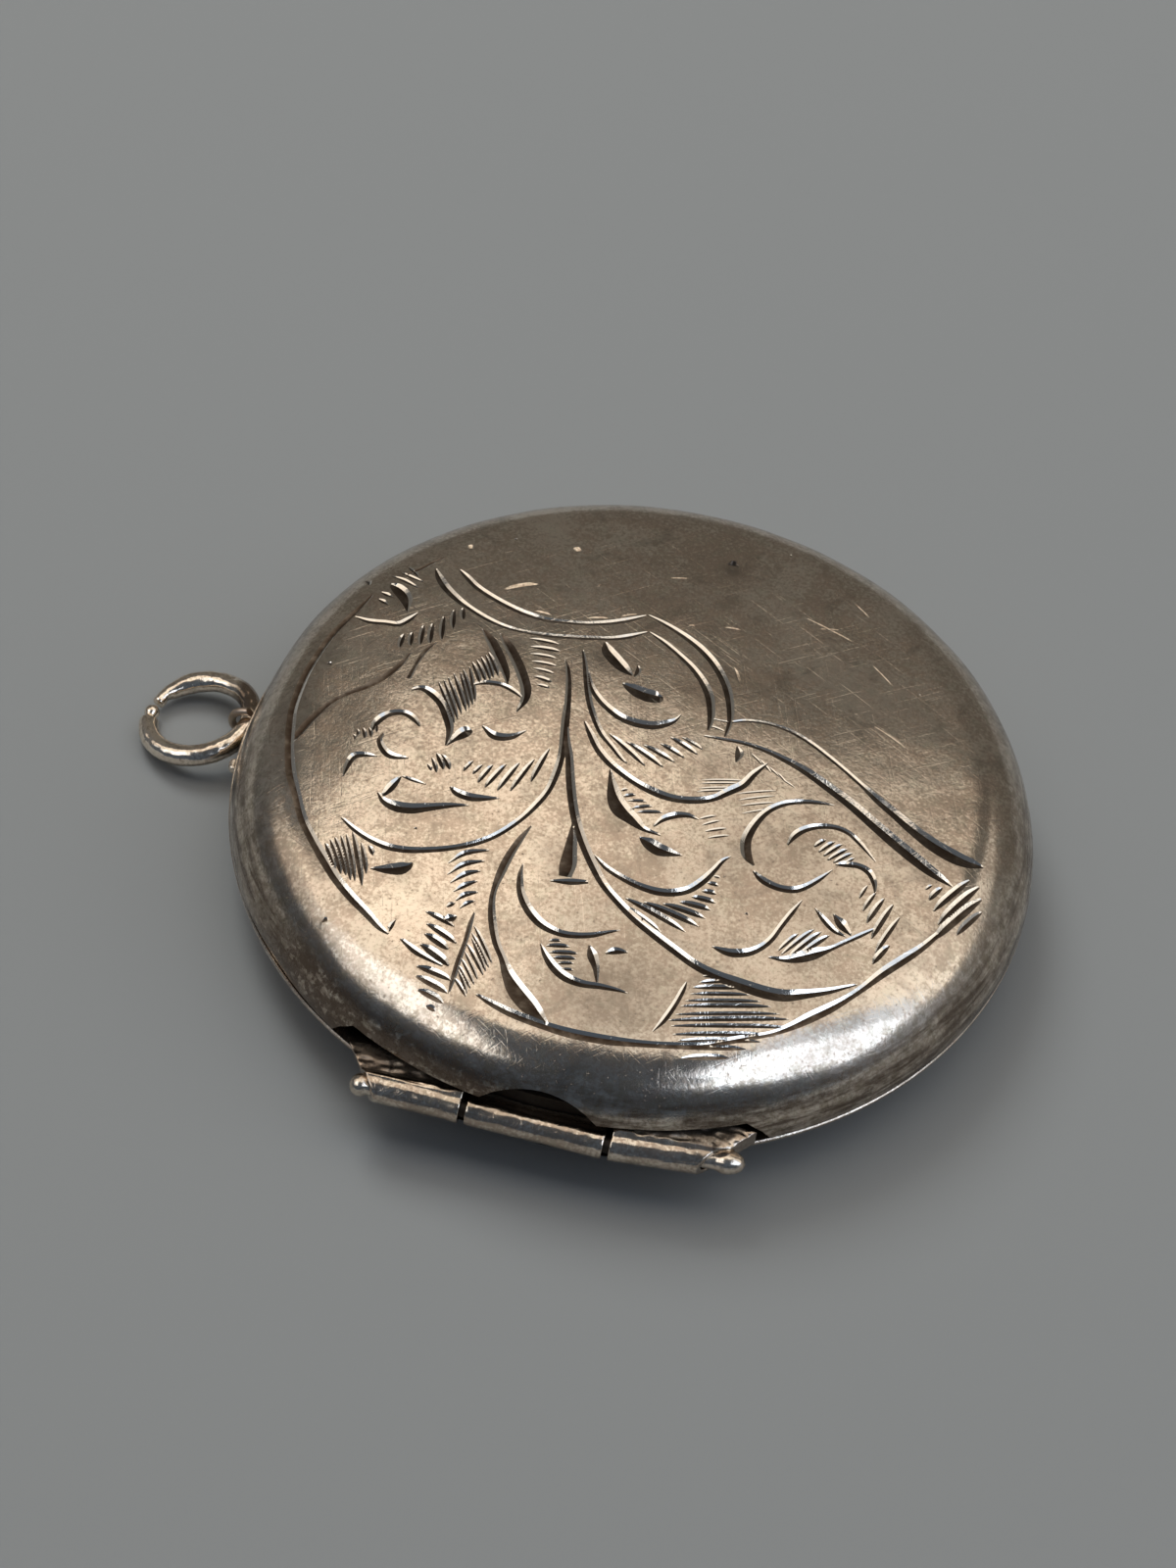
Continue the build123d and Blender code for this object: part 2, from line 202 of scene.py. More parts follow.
BORDER = [
    [(-11.7, 4.95, .05), (-12.05, 4.0, .14), (-12.5, 2.9, .18), (-12.78, 1.9, .2),
     (-12.97, 0.6, .21), (-13.0, -0.4, .23), (-12.9, -1.5, .21), (-12.7, -2.4, .22),
     (-12.4, -3.4, .2), (-12.0, -4.5, .22), (-11.45, -5.5, .19), (-10.9, -6.5, .19),
     (-10.2, -7.4, .19), (-9.6, -8.1, .22), (-9.0, -8.75, .2), (-8.3, -9.35, .2),
     (-7.5, -9.92, .18), (-6.9, -10.35, .13), (-6.5, -10.52, .05)],
    [(-6.05, -10.6, .06), (-5.5, -10.95, .15), (-5.05, -11.12, .13), (-4.35, -11.3, .05)],
    [(-2.95, -12.1, .05), (-2.3, -12.35, .14), (-1.5, -12.56, .17), (-0.4, -12.7, .17),
     (0.6, -12.75, .19), (1.8, -12.65, .18), (3.0, -12.42, .13), (4.1, -12.15, .13),
     (5.0, -11.85, .14), (6.1, -11.25, .13), (7.0, -10.75, .1), (7.6, -10.3, .15),
     (8.2, -9.75, .21), (8.8, -9.15, .2), (9.3, -8.55, .15), (9.75, -7.95, .15),
     (10.3, -7.15, .2), (10.9, -6.35, .2), (11.4, -5.65, .16), (11.8, -4.95, .12),
     (12.1, -4.3, .04)],
]

DIVIDER = [
    [(-8.85, 7.1, .05), (-8.5, 6.75, .14), (-8.0, 6.3, .16), (-7.4, 5.95, .16), (-6.6, 5.6, .16),
     (-5.8, 5.35, .16), (-5.0, 5.25, .14), (-4.2, 5.35, .12), (-3.4, 5.5, .12), (-2.6, 5.8, .14),
     (-1.9, 6.2, .13), (-1.35, 6.65, .04)],
    [(-9.75, 6.9, .05), (-9.5, 6.4, .18), (-9.1, 5.9, .2), (-8.5, 5.4, .18), (-7.9, 5.05, .14),
     (-7.2, 4.7, .14), (-6.4, 4.45, .12), (-5.6, 4.38, .1), (-4.8, 4.42, .12), (-3.9, 4.58, .12),
     (-3.0, 4.8, .12), (-2.3, 5.0, .12), (-1.7, 5.3, .14), (-1.12, 5.78, .04)],
    [(-1.3, 6.7, .04), (-0.6, 6.4, .12), (0.2, 6.0, .16), (0.9, 5.55, .19), (1.5, 5.0, .2),
     (2.0, 4.35, .2), (2.35, 3.7, .2), (2.6, 3.0, .18), (2.78, 2.2, .14), (2.78, 1.4, .05)],
    [(-1.05, 5.8, .04), (-0.4, 5.4, .12), (0.3, 4.9, .14), (0.9, 4.4, .16), (1.4, 3.8, .19),
     (1.75, 3.2, .21), (1.95, 2.6, .19), (2.08, 2.0, .15), (2.12, 1.5, .05)],
]

SASH = [
    [(2.1, 2.1, .04), (2.8, 2.15, .06), (3.4, 2.42, .08), (4.2, 2.55, .09), (5.0, 2.45, .11),
     (5.8, 2.15, .12), (6.6, 1.7, .12), (7.4, 1.2, .12), (8.1, 0.72, .13), (8.7, 0.27, .21),
     (9.4, -0.17, .25), (10.2, -0.68, .32), (11.0, -1.1, .4), (11.8, -1.36, .42),
     (12.4, -1.42, .3), (12.95, -1.28, .06)],
    [(2.05, 1.18, .05), (2.7, 1.22, .08), (3.5, 1.28, .1), (4.3, 1.2, .12), (5.1, 0.98, .16),
     (6.0, 0.64, .21), (6.9, 0.18, .24), (7.8, -0.32, .28), (8.7, -0.9, .31), (9.6, -1.47, .35),
     (10.4, -1.93, .35), (11.1, -2.3, .27), (11.7, -2.52, .14), (12.0, -2.62, .03)],
]

STEM = [
    [(-9.55, -6.1, .05), (-9.0, -6.5, .12), (-8.4, -6.8, .14), (-7.7, -7.0, .16),
     (-7.0, -7.0, .16), (-6.2, -6.8, .14), (-5.3, -6.45, .13), (-4.5, -5.97, .14),
     (-3.9, -5.4, .14), (-3.35, -4.6, .14), (-2.97, -3.8, .16), (-2.72, -3.0, .16),
     (-2.64, -2.1, .18), (-2.67, -1.3, .17), (-2.78, -0.5, .19), (-2.93, 0.4, .2),
     (-3.08, 1.3, .16), (-3.3, 2.3, .14), (-3.52, 3.0, .1), (-3.72, 3.4, .03)],
    [(-2.9, 0.25, .05), (-2.75, -0.5, .13), (-2.48, -1.3, .17), (-2.2, -2.3, .2),
     (-1.87, -3.3, .2), (-1.5, -4.2, .2), (-1.0, -5.1, .2), (-0.45, -5.92, .2), (0.1, -6.6, .18),
     (0.8, -7.2, .18), (1.5, -7.7, .2), (2.3, -8.15, .2), (3.1, -8.55, .2), (3.9, -8.92, .2),
     (4.7, -9.13, .22), (5.6, -9.25, .28), (6.5, -9.3, .3), (7.2, -9.2, .27), (7.9, -8.88, .2),
     (8.6, -8.5, .14), (9.15, -8.12, .08), (9.5, -7.87, .03)],
    [(-3.25, 4.1, .04), (-3.05, 3.5, .1), (-2.87, 2.9, .13), (-2.62, 2.1, .14),
     (-2.35, 1.4, .14), (-2.0, 0.72, .14), (-1.6, 0.12, .14), (-1.1, -0.36, .12),
     (-0.65, -0.8, .1), (-0.35, -1.0, .03)],
    [(-2.32, 0.55, .05), (-2.0, 0.0, .15), (-1.6, -0.6, .18), (-1.1, -1.1, .19),
     (-0.5, -1.5, .18), (0.2, -1.85, .18), (1.0, -2.1, .2), (1.7, -2.15, .18), (2.4, -2.0, .18),
     (3.0, -1.7, .16), (3.5, -1.2, .2), (3.95, -0.7, .2), (4.2, -0.1, .17), (4.42, 0.35, .1),
     (4.57, 0.65, .03)],
]

LEFT_SCROLL = [
    [(-9.4, 2.2, .04), (-9.65, 1.5, .14), (-10.0, 0.85, .19), (-10.5, 0.2, .19),
     (-11.1, -0.37, .12), (-11.6, -0.95, .14), (-12.0, -1.8, .2), (-12.25, -2.6, .2),
     (-12.37, -3.15, .06)],
    [(-8.65, 2.95, .04), (-8.93, 2.4, .12), (-9.05, 1.7, .09), (-9.13, 0.9, .12)],
    [(-8.82, 0.35, .06), (-8.5, 0.5, .14), (-8.1, 0.33, .2), (-7.62, -0.07, .2),
     (-7.22, -0.7, .2), (-6.97, -1.25, .16), (-6.88, -1.95, .04)],
    [(-6.83, -1.95, .03), (-6.62, -1.6, .16), (-6.42, -1.35, .3), (-6.25, -1.15, .3),
     (-6.12, -1.02, .1)],
    [(-9.66, -2.0, .06), (-9.55, -1.5, .19), (-9.25, -1.05, .17), (-8.8, -0.87, .15),
     (-8.4, -1.02, .15), (-8.03, -1.32, .04)],
    [(-9.22, -1.95, .05), (-9.3, -2.3, .12), (-9.12, -2.65, .16), (-8.82, -2.93, .18),
     (-8.5, -3.0, .16), (-8.0, -2.9, .05)],
    [(-10.02, -4.28, .03), (-9.99, -3.8, .14), (-9.9, -3.35, .18), (-9.6, -3.18, .14),
     (-9.1, -3.1, .04)],
    [(-8.62, -4.7, .05), (-8.3, -5.07, .16), (-7.8, -5.25, .26), (-7.2, -5.2, .27),
     (-6.6, -4.95, .2), (-5.9, -4.65, .12), (-5.3, -4.45, .03)],
    [(-8.42, -4.88, .06), (-8.22, -4.5, .2), (-8.1, -4.15, .18), (-8.0, -3.78, .05)],
    [(-7.98, -3.78, .05), (-7.55, -3.87, .09), (-7.05, -3.92, .03)],
    [(-6.2, -3.8, .06), (-5.9, -4.05, .18), (-5.4, -4.15, .2), (-4.9, -4.05, .15),
     (-4.35, -3.85, .03)],
    [(-6.75, 1.15, .05), (-6.3, 1.38, .12), (-5.7, 1.43, .12), (-5.2, 1.25, .12),
     (-4.8, 1.03, .05)],
    [(-5.85, -0.7, .05), (-5.4, -1.08, .19), (-5.0, -1.12, .2), (-4.6, -0.93, .15),
     (-4.22, -0.48, .03)],
    [(-4.8, 0.3, .03), (-4.63, 0.95, .2), (-4.7, 1.5, .28), (-5.0, 2.15, .3), (-5.45, 2.9, .3),
     (-5.95, 3.6, .25), (-6.4, 4.1, .05)],
    [(-5.48, 1.55, .03), (-5.62, 2.05, .2), (-5.92, 2.6, .28), (-6.3, 3.2, .3),
     (-6.7, 3.75, .24), (-7.12, 4.15, .04)],
]

CENTRE_LEAVES = [
    [(-2.78, 3.05, .03), (-2.55, 2.4, .12), (-2.2, 1.88, .16), (-1.7, 1.43, .18),
     (-1.1, 1.08, .2), (-0.5, 0.95, .22), (0.1, 1.0, .22), (0.6, 1.27, .19), (0.9, 1.6, .1),
     (1.02, 1.95, .02)],
    [(-2.55, 4.78, .05), (-2.4, 4.3, .3), (-2.03, 3.9, .36), (-1.6, 3.55, .28),
     (-1.15, 3.33, .05)],
    [(-1.08, 3.92, .04), (-1.03, 3.6, .14), (-1.08, 3.3, .04)],
    [(-1.42, 2.82, .05), (-1.0, 2.58, .3), (-0.45, 2.42, .42), (0.05, 2.45, .36),
     (0.22, 2.6, .08)],
    [(-0.88, -1.42, .04), (-0.67, -2.2, .22), (-0.46, -2.75, .4), (-0.14, -3.2, .5),
     (0.33, -3.5, .36), (0.9, -3.8, .14), (1.55, -3.87, .05)],
    [(1.25, -3.55, .04), (1.5, -3.17, .14), (1.9, -2.87, .16), (2.3, -2.73, .12),
     (2.7, -2.75, .04)],
    [(0.85, -4.17, .04), (1.2, -4.42, .3), (1.65, -4.6, .34), (2.1, -4.57, .18),
     (2.5, -4.5, .03)],
    [(-0.5, -5.4, .04), (0.0, -5.83, .12), (0.6, -6.1, .14), (1.3, -6.3, .16), (2.0, -6.36, .18),
     (2.6, -6.22, .18), (3.1, -5.9, .18), (3.5, -5.35, .18), (3.75, -4.8, .14), (3.95, -4.3, .1),
     (4.17, -4.0, .02)],
    [(-1.58, -4.15, .02), (-1.5, -4.8, .18), (-1.42, -5.5, .32), (-1.35, -6.1, .44),
     (-1.32, -6.6, .3)],
    [(-1.7, -6.92, .04), (-1.0, -6.82, .15), (-0.4, -6.62, .08)],
    [(-2.95, -4.75, .03), (-3.2, -5.4, .15), (-3.4, -6.2, .2), (-3.5, -7.0, .2),
     (-3.52, -7.8, .13), (-3.45, -8.4, .14), (-3.25, -9.1, .17), (-2.9, -9.9, .16),
     (-2.5, -10.5, .16), (-2.2, -11.05, .26), (-1.75, -11.62, .46), (-1.15, -12.12, .46),
     (-0.65, -12.42, .2), (-0.3, -12.6, .04)],
    [(-2.82, -6.45, .02), (-2.8, -7.0, .12), (-2.6, -7.7, .17), (-2.2, -8.3, .2),
     (-1.6, -8.8, .2), (-0.9, -9.0, .16), (-0.3, -8.95, .14), (0.3, -8.75, .12),
     (0.8, -8.45, .07), (1.15, -8.25, .02)],
    [(-1.37, -9.55, .03), (-1.1, -10.0, .14), (-0.7, -10.42, .2), (-0.2, -10.7, .2),
     (0.4, -10.78, .16), (1.0, -10.7, .13), (1.6, -10.65, .08), (2.0, -10.65, .02)],
    [(0.25, -9.15, .04), (0.4, -9.55, .22), (0.65, -9.97, .15), (0.87, -10.55, .04)],
    [(0.88, -9.32, .05), (1.2, -9.17, .16), (1.62, -9.05, .03)],
    [(3.15, -11.85, .02), (3.45, -11.3, .13), (3.67, -10.6, .13), (3.8, -9.95, .11),
     (3.82, -9.6, .02)],
]

RIGHT_SCROLL = [
    [(5.03, -4.12, .05), (4.8, -3.85, .23), (4.66, -3.5, .26), (4.6, -3.0, .24),
     (4.74, -2.3, .2), (5.03, -1.62, .16), (5.48, -1.12, .14), (6.0, -0.82, .12),
     (6.6, -0.62, .1), (7.27, -0.5, .03)],
    [(5.03, -4.38, .05), (5.4, -4.7, .16), (6.0, -4.86, .16), (6.6, -4.78, .16),
     (7.0, -4.48, .14), (7.4, -3.98, .11), (7.75, -3.4, .02)],
    [(6.0, -2.85, .04), (6.18, -2.4, .16), (6.45, -2.02, .16), (6.9, -1.7, .14),
     (7.5, -1.53, .12), (8.0, -1.62, .12), (8.5, -1.97, .12), (9.15, -2.52, .03)],
    [(7.8, -3.15, .04), (8.1, -3.07, .14), (8.6, -2.97, .14), (9.0, -3.12, .16),
     (9.25, -3.5, .12), (9.37, -3.9, .03)],
    [(4.33, -7.95, .03), (4.7, -8.05, .14), (5.1, -8.06, .19), (5.6, -7.87, .18),
     (6.0, -7.5, .15), (6.3, -7.0, .14), (6.5, -6.4, .13), (6.75, -5.7, .12), (6.97, -5.05, .02)],
    [(6.3, -7.78, .04), (6.9, -7.72, .14), (7.4, -7.5, .26), (7.85, -7.2, .26),
     (8.3, -6.8, .12), (8.8, -6.3, .1), (9.3, -5.8, .1), (9.75, -5.3, .03)],
    [(7.45, -5.25, .03), (7.85, -5.68, .14), (8.3, -6.0, .12), (8.75, -6.08, .02)],
    [(8.12, -5.28, .03), (8.45, -5.68, .24), (8.9, -5.97, .04)],
]

UPPER_LEFT = [
    [(-11.2, 5.62, .1), (-10.85, 5.35, .34), (-10.48, 4.98, .34), (-10.13, 4.3, .03)],
    [(-11.25, 6.12, .04), (-10.7, 5.92, .11), (-10.1, 5.68, .04)],
    [(-10.95, 6.38, .04), (-10.5, 6.18, .1), (-9.98, 6.05, .03)],
    [(-10.78, 6.75, .04), (-10.5, 6.5, .1), (-10.25, 6.3, .03)],
    [(-9.62, 7.62, .04), (-10.0, 7.2, .09), (-10.4, 6.7, .1), (-10.88, 6.2, .03)],
    [(-11.4, 5.12, .04), (-11.15, 5.0, .12), (-10.9, 4.95, .03)],
    [(-11.4, 4.72, .04), (-11.2, 4.6, .12), (-10.95, 4.5, .03)],
    [(-12.27, 5.88, .04), (-12.1, 5.75, .12), (-12.02, 5.55, .04)],
    [(-12.0, 3.58, .04), (-11.4, 3.42, .14), (-10.8, 3.48, .14), (-10.25, 3.52, .16),
     (-9.93, 3.85, .16), (-9.7, 4.35, .03)],
]

SMALL_MARKS = [
    [(3.32, 1.08, .06), (3.42, 0.7, .2), (3.42, 0.32, .03)],
    [(2.15, 1.72, .04), (2.42, 1.7, .06), (2.7, 1.65, .04)],
    [(-7.9, -8.02, .04), (-7.35, -7.98, .22), (-6.85, -7.85, .34), (-6.6, -7.62, .2),
     (-6.53, -7.4, .03)],
    [(-6.5, -10.4, .05), (-6.47, -10.15, .12), (-6.42, -9.88, .03)],
    [(-4.85, -9.5, .06), (-4.62, -9.45, .26), (-4.42, -9.2, .05)],
    [(-4.88, -8.92, .04), (-4.75, -8.82, .12), (-4.63, -8.68, .03)],
    [(-3.9, -8.88, .03), (-3.93, -9.4, .1), (-3.9, -10.1, .1), (-3.92, -11.0, .12),
     (-3.9, -11.7, .11), (-3.87, -12.25, .03)],
]

# Short cuts that shade the leaves, each from one end to the other
BARS = [
    # left leaf, upper row
    (-8.12, 5.05, -7.95, 4.42, .13), (-8.42, 4.85, -8.2, 3.85, .13),
    (-8.7, 4.4, -8.45, 3.18, .13), (-9.0, 3.92, -8.82, 2.88, .14), (-9.3, 3.75, -9.15, 2.72, .13),
    (-9.62, 3.28, -9.5, 2.58, .13), (-9.9, 3.12, -9.87, 2.4, .13),
    # left leaf, beside its small scroll
    (-10.2, -2.0, -10.08, -2.32, .07), (-10.02, -1.9, -9.8, -2.38, .09),
    (-9.8, -1.85, -9.6, -2.25, .09), (-9.56, -1.6, -9.45, -1.98, .07),
    (-10.27, -2.28, -10.12, -2.5, .07), (-7.27, -2.98, -7.05, -3.25, .08),
    (-7.2, -2.65, -6.85, -3.28, .09), (-7.1, -2.4, -6.65, -3.08, .12),
    (-6.9, -2.4, -6.43, -3.02, .12),
    # left leaf, lower row
    (-5.7, -2.4, -5.92, -2.97, .09), (-5.33, -2.5, -5.55, -3.02, .09),
    (-4.97, -2.4, -5.27, -3.35, .12), (-4.52, -2.25, -4.97, -3.5, .13),
    (-4.07, -2.05, -4.5, -3.52, .13), (-3.6, -1.75, -4.05, -3.42, .13),
    (-3.2, -1.12, -3.45, -2.8, .13),
    # beside the long stem
    (-1.3, 0.22, 0.3, -0.92, .13), (-0.6, 0.02, 0.95, -0.78, .13), (0.02, 0.05, 1.3, -0.42, .12),
    (0.6, 0.3, 1.58, -0.1, .11), (0.88, 0.72, 2.02, 0.2, .12), (1.28, 0.85, 2.15, 0.5, .09),
    # under the middle leaf
    (3.75, -5.05, 4.0, -5.05, .07), (3.6, -5.4, 4.02, -5.4, .09), (3.5, -5.8, 4.02, -5.77, .11),
    (3.2, -6.15, 4.07, -6.15, .12), (2.85, -6.5, 3.97, -6.5, .13), (2.3, -6.75, 3.87, -6.9, .13),
    (1.65, -6.88, 3.72, -7.3, .14), (1.0, -6.9, 3.32, -7.66, .14), (1.0, -7.2, 2.5, -7.92, .11),
    # lowest small leaf
    (-1.12, -9.36, -0.7, -9.25, .07), (-1.15, -9.58, -0.35, -9.4, .09),
    (-1.0, -9.82, -0.02, -9.6, .09), (-0.82, -10.0, -0.02, -9.82, .09),
    (-0.62, -10.18, -0.05, -10.02, .07), (-0.42, -10.36, 0.0, -10.28, .06),
    # right scroll
    (6.93, -2.62, 7.28, -2.15, .10), (7.13, -2.8, 7.6, -2.13, .10), (7.33, -2.92, 7.88, -2.15, .10),
    (7.5, -3.05, 8.1, -2.3, .10), (7.72, -3.1, 8.3, -2.42, .09), (8.02, -3.12, 8.42, -2.6, .07),
    (9.08, -3.65, 8.9, -4.3, .08), (9.42, -3.85, 9.12, -4.8, .10), (9.75, -4.0, 9.35, -5.25, .13),
    (10.1, -4.15, 9.62, -5.85, .14), (10.42, -4.6, 9.85, -6.4, .12),
    (10.28, -5.9, 9.85, -6.87, .14), (6.58, -7.4, 7.12, -6.48, .09),
    (6.72, -7.52, 7.62, -6.12, .10), (6.98, -7.55, 7.88, -6.15, .12),
    (7.28, -7.42, 8.18, -6.2, .12),
    # where the border meets the divider
    (11.3, -2.8, 11.1, -3.1, .07), (11.67, -2.78, 11.3, -3.5, .13),
    (12.57, -2.08, 11.53, -3.92, .16), (12.95, -2.18, 11.78, -4.42, .18),
    (13.12, -2.62, 11.72, -5.15, .20), (13.22, -3.1, 12.5, -4.5, .13),
    # lower left, beside the border
    (-5.52, -9.3, -4.4, -9.65, .12), (-5.35, -9.78, -4.15, -10.3, .14),
    (-5.3, -10.2, -4.35, -10.62, .16), (-5.32, -10.65, -4.15, -11.25, .18),
    (-5.2, -11.52, -3.9, -11.78, .14), (-5.12, -11.88, -3.9, -12.26, .14),
    (-4.92, -12.32, -3.95, -12.62, .13), (-4.5, -12.78, -4.13, -12.9, .09),
]

CURVED_BARS = [
    [(-5.32, -7.12, .03), (-4.85, -6.58, .13), (-4.08, -6.2, .04)],
    [(-5.22, -7.6, .03), (-4.75, -7.05, .13), (-4.12, -6.7, .04)],
    [(-5.03, -7.92, .03), (-4.6, -7.45, .13), (-4.14, -7.15, .04)],
    [(-4.82, -8.25, .03), (-4.5, -7.92, .125), (-4.13, -7.6, .04)],
    [(-4.65, -8.6, .03), (-4.38, -8.3, .125), (-3.98, -8.05, .04)],
    [(-4.42, -8.87, .03), (-4.22, -8.62, .1), (-3.98, -8.43, .03)],
]

# Groups of parallel cuts: the first and the last of them, how many, and their width
CRISP_HATCHES = [
    ((-7.95, 1.02, -6.88, -0.78), (-7.1, 2.05, -6.42, 0.45), 7, .1),
    ((-7.02, 2.3, -6.45, 1.3), (-6.6, 3.02, -5.95, 1.85), 5, .1),
    ((-9.8, -7.3, -9.1, -8.42), (-8.95, -6.6, -8.02, -8.75), 6, .12),
    ((-8.55, -7.05, -8.02, -8.3), (-8.25, -7.05, -8.02, -7.5), 2, .11),
    ((-3.72, -9.42, -2.75, -10.75), (-3.85, -11.6, -3.3, -12.3), 9, .085),
    ((4.3, -9.19, 4.9, -9.04), (3.62, -11.26, 7.52, -10.01), 8, .09),
    ((3.71, -11.51, 7.67, -10.29), (4.32, -12.44, 5.81, -11.95), 5, .09),
    ((-0.3, -2.3, -0.02, -2.2), (0.5, -3.15, 1.42, -2.88), 5, .075),
]
SOFT_HATCHES = [
    ((2.75, -2.7, 3.3, -2.35), (3.2, -3.47, 3.92, -3.05), 4, .065),
    ((2.45, -0.88, 3.9, -0.42), (2.35, -1.52, 3.4, -1.12), 4, .055),
    ((3.8, -1.15, 5.1, -0.55), (4.1, -1.95, 5.2, -1.4), 4, .05),
    ((3.9, 0.95, 4.4, 0.45), (5.2, 0.1, 5.75, -0.2), 5, .05),
    ((-5.3, 4.1, -4.1, 4.13), (-4.45, 1.8, -3.9, 1.75), 7, .1),
]

# Pits: where each one is and its size
PITS = [
    (1.25, 10.5, 0.46), (-12.2, 0.9, 0.2), (-7.2, 9.4, 0.14), (-8.85, -10.35, 0.2),
    (-6.85, -5.97, 0.12), (5.2, -6.3, 0.13), (9.4, 6.1, 0.08), (3.3, 12.0, 0.1),
]

# Bright bare scrapes, from one end to the other
SCRAPES = [
    (-6.9, 6.4, -5.7, 7.1, .12), (-4.9, 9.25, -4.5, 9.5, .16), (-8.9, 8.32, -8.55, 8.47, .13),
    (-3.42, 7.85, -3.46, 7.35, .05), (0.3, 6.6, 0.55, 6.66, .06), (1.6, 6.98, 2.25, 7.06, .04),
    (4.5, 8.62, 6.5, 7.98, .035), (5.1, 8.2, 5.9, 8.45, .03), (8.0, 3.85, 9.3, 3.2, .035),
    (7.4, 7.0, 8.3, 6.2, .025), (-5.5, 5.62, -4.8, 5.56, .05), (-3.5, 5.8, -2.7, 6.05, .05),
    (-2.3, 6.25, -1.7, 6.6, .05),
    (2.4, 5.0, 2.75, 4.2, .06), (6.1, 10.2, 6.9, 9.5, .025), (-1.0, 9.0, -0.2, 9.25, .03),
]

# Darker patches of the plain metal: where each one is, its size and how dark it is
DARK_PATCHES = [
    (1.6, -11.0, 2.3, 0.75), (-10.7, -2.2, 1.4, 0.4), (9.0, -9.2, 1.5, 0.45), (4.6, -3.6, 1.2, 0.5),
    (6.2, -3.0, 1.6, 0.45), (-1.7, -5.6, 0.8, 0.45), (-4.2, -11.2, 0.9, 0.5), (2.6, -0.2, 0.7, 0.5),
    (-5.2, 2.4, 1.1, 0.3), (7.5, -5.0, 1.3, 0.35), (-9.2, 1.9, 1.2, 0.3), (-3.0, -9.6, 1.0, 0.3),
]
WIDE_CUT = 0.2              # cuts wider than this have soft painted shade beside their facet
BESIDE_CUT = 0.42           # and it reaches about this far
BESIDE_LIMIT = 0.8          # the darkest that it gets, and how fast it darkens with the cut's width
BESIDE_GROWTH = 1.7

WALL = 0.55                 # width of the bright wall against the dark facet
WIDEST_WALL_AT = 0.26       # cuts wider than this have no wider walls
THINNEST_WALL = 0.012
THINNEST_CUT = 0.015
STEEPEST = 0.35             # a narrow cut's depth against its width
DEPTH = 0.065               # depth of a wide cut, and what it gains with width
DEPTH_GAIN = 0.06
TAPER = 0.12                # length over which a cut rises to the surface at each end
BOTTOM_SHIFT = 0.85         # a cut's bottom lies this far up the face for each unit of depth
MARGIN = 0.05               # round a cut, where it is looked for
RISE_COUNTS = 0.35          # how much a cut's rise counts against its run in choosing its direction
SHALLOW = 0.6               # how deep the soft hatches and the scrapes are against crisp cuts
LIGHTER = 0.8               # and the small separate marks
PIT_WALL = 0.1
SCRAPE_WALL = 1.2
UNEVEN_PLACE = 0.05         # how unevenly hatches are placed, and how their widths vary
UNEVEN_WIDTH = 0.15


def bar_points(x0, y0, x1, y1, width):
    """A short cut that is widest past its middle."""
    return [
        (x0, y0, 0.3 * width),
        (x0 + 0.3 * (x1 - x0), y0 + 0.3 * (y1 - y0), width),
        (x0 + 0.75 * (x1 - x0), y0 + 0.75 * (y1 - y0), width),
        (x1, y1, 0.2 * width),
    ]


def hatch_points(first, last, count, width):
    """Parallel cuts between a first and a last one, a little uneven as by hand."""
    for i in range(count):
        t = i / max(count - 1, 1)
        ends = [a + t * (b - a) + random.uniform(-UNEVEN_PLACE, UNEVEN_PLACE)
                for a, b in zip(first, last)]
        yield bar_points(*ends, width * random.uniform(1 - UNEVEN_WIDTH, 1 + UNEVEN_WIDTH))


def upright(points):
    """The same cut, run so that its bright wall faces up or left."""
    (x0, y0, _), (x1, y1, _) = points[0], points[-1]
    rise, run = y1 - y0, x1 - x0
    return points if run + RISE_COUNTS * rise > 0 else points[::-1]


def smooth_path(points):
    """The points of a cut joined by a smooth curve with short even steps."""
    rows = np.array(points, float)
    before = 2 * rows[:1] - rows[1:2]
    after = 2 * rows[-1:] - rows[-2:-1]
    rows = np.vstack([before, rows, after])
    made = []
    for a, b, c, d in zip(rows[:-3], rows[1:-2], rows[2:-1], rows[3:]):
        steps = max(1, math.ceil(np.linalg.norm(c[:2] - b[:2]) / PATH_STEP))
        for t in np.arange(steps) / steps:
            made.append(0.5 * (
                2 * b + (c - a) * t + (2 * a - 5 * b + 4 * c - d) * t ** 2
                + (3 * b - a - 3 * c + d) * t ** 3
            ))
    made.append(rows[-2])
    made = np.array(made)
    made[:, 2] = np.maximum(made[:, 2], THINNEST_CUT)
    return made


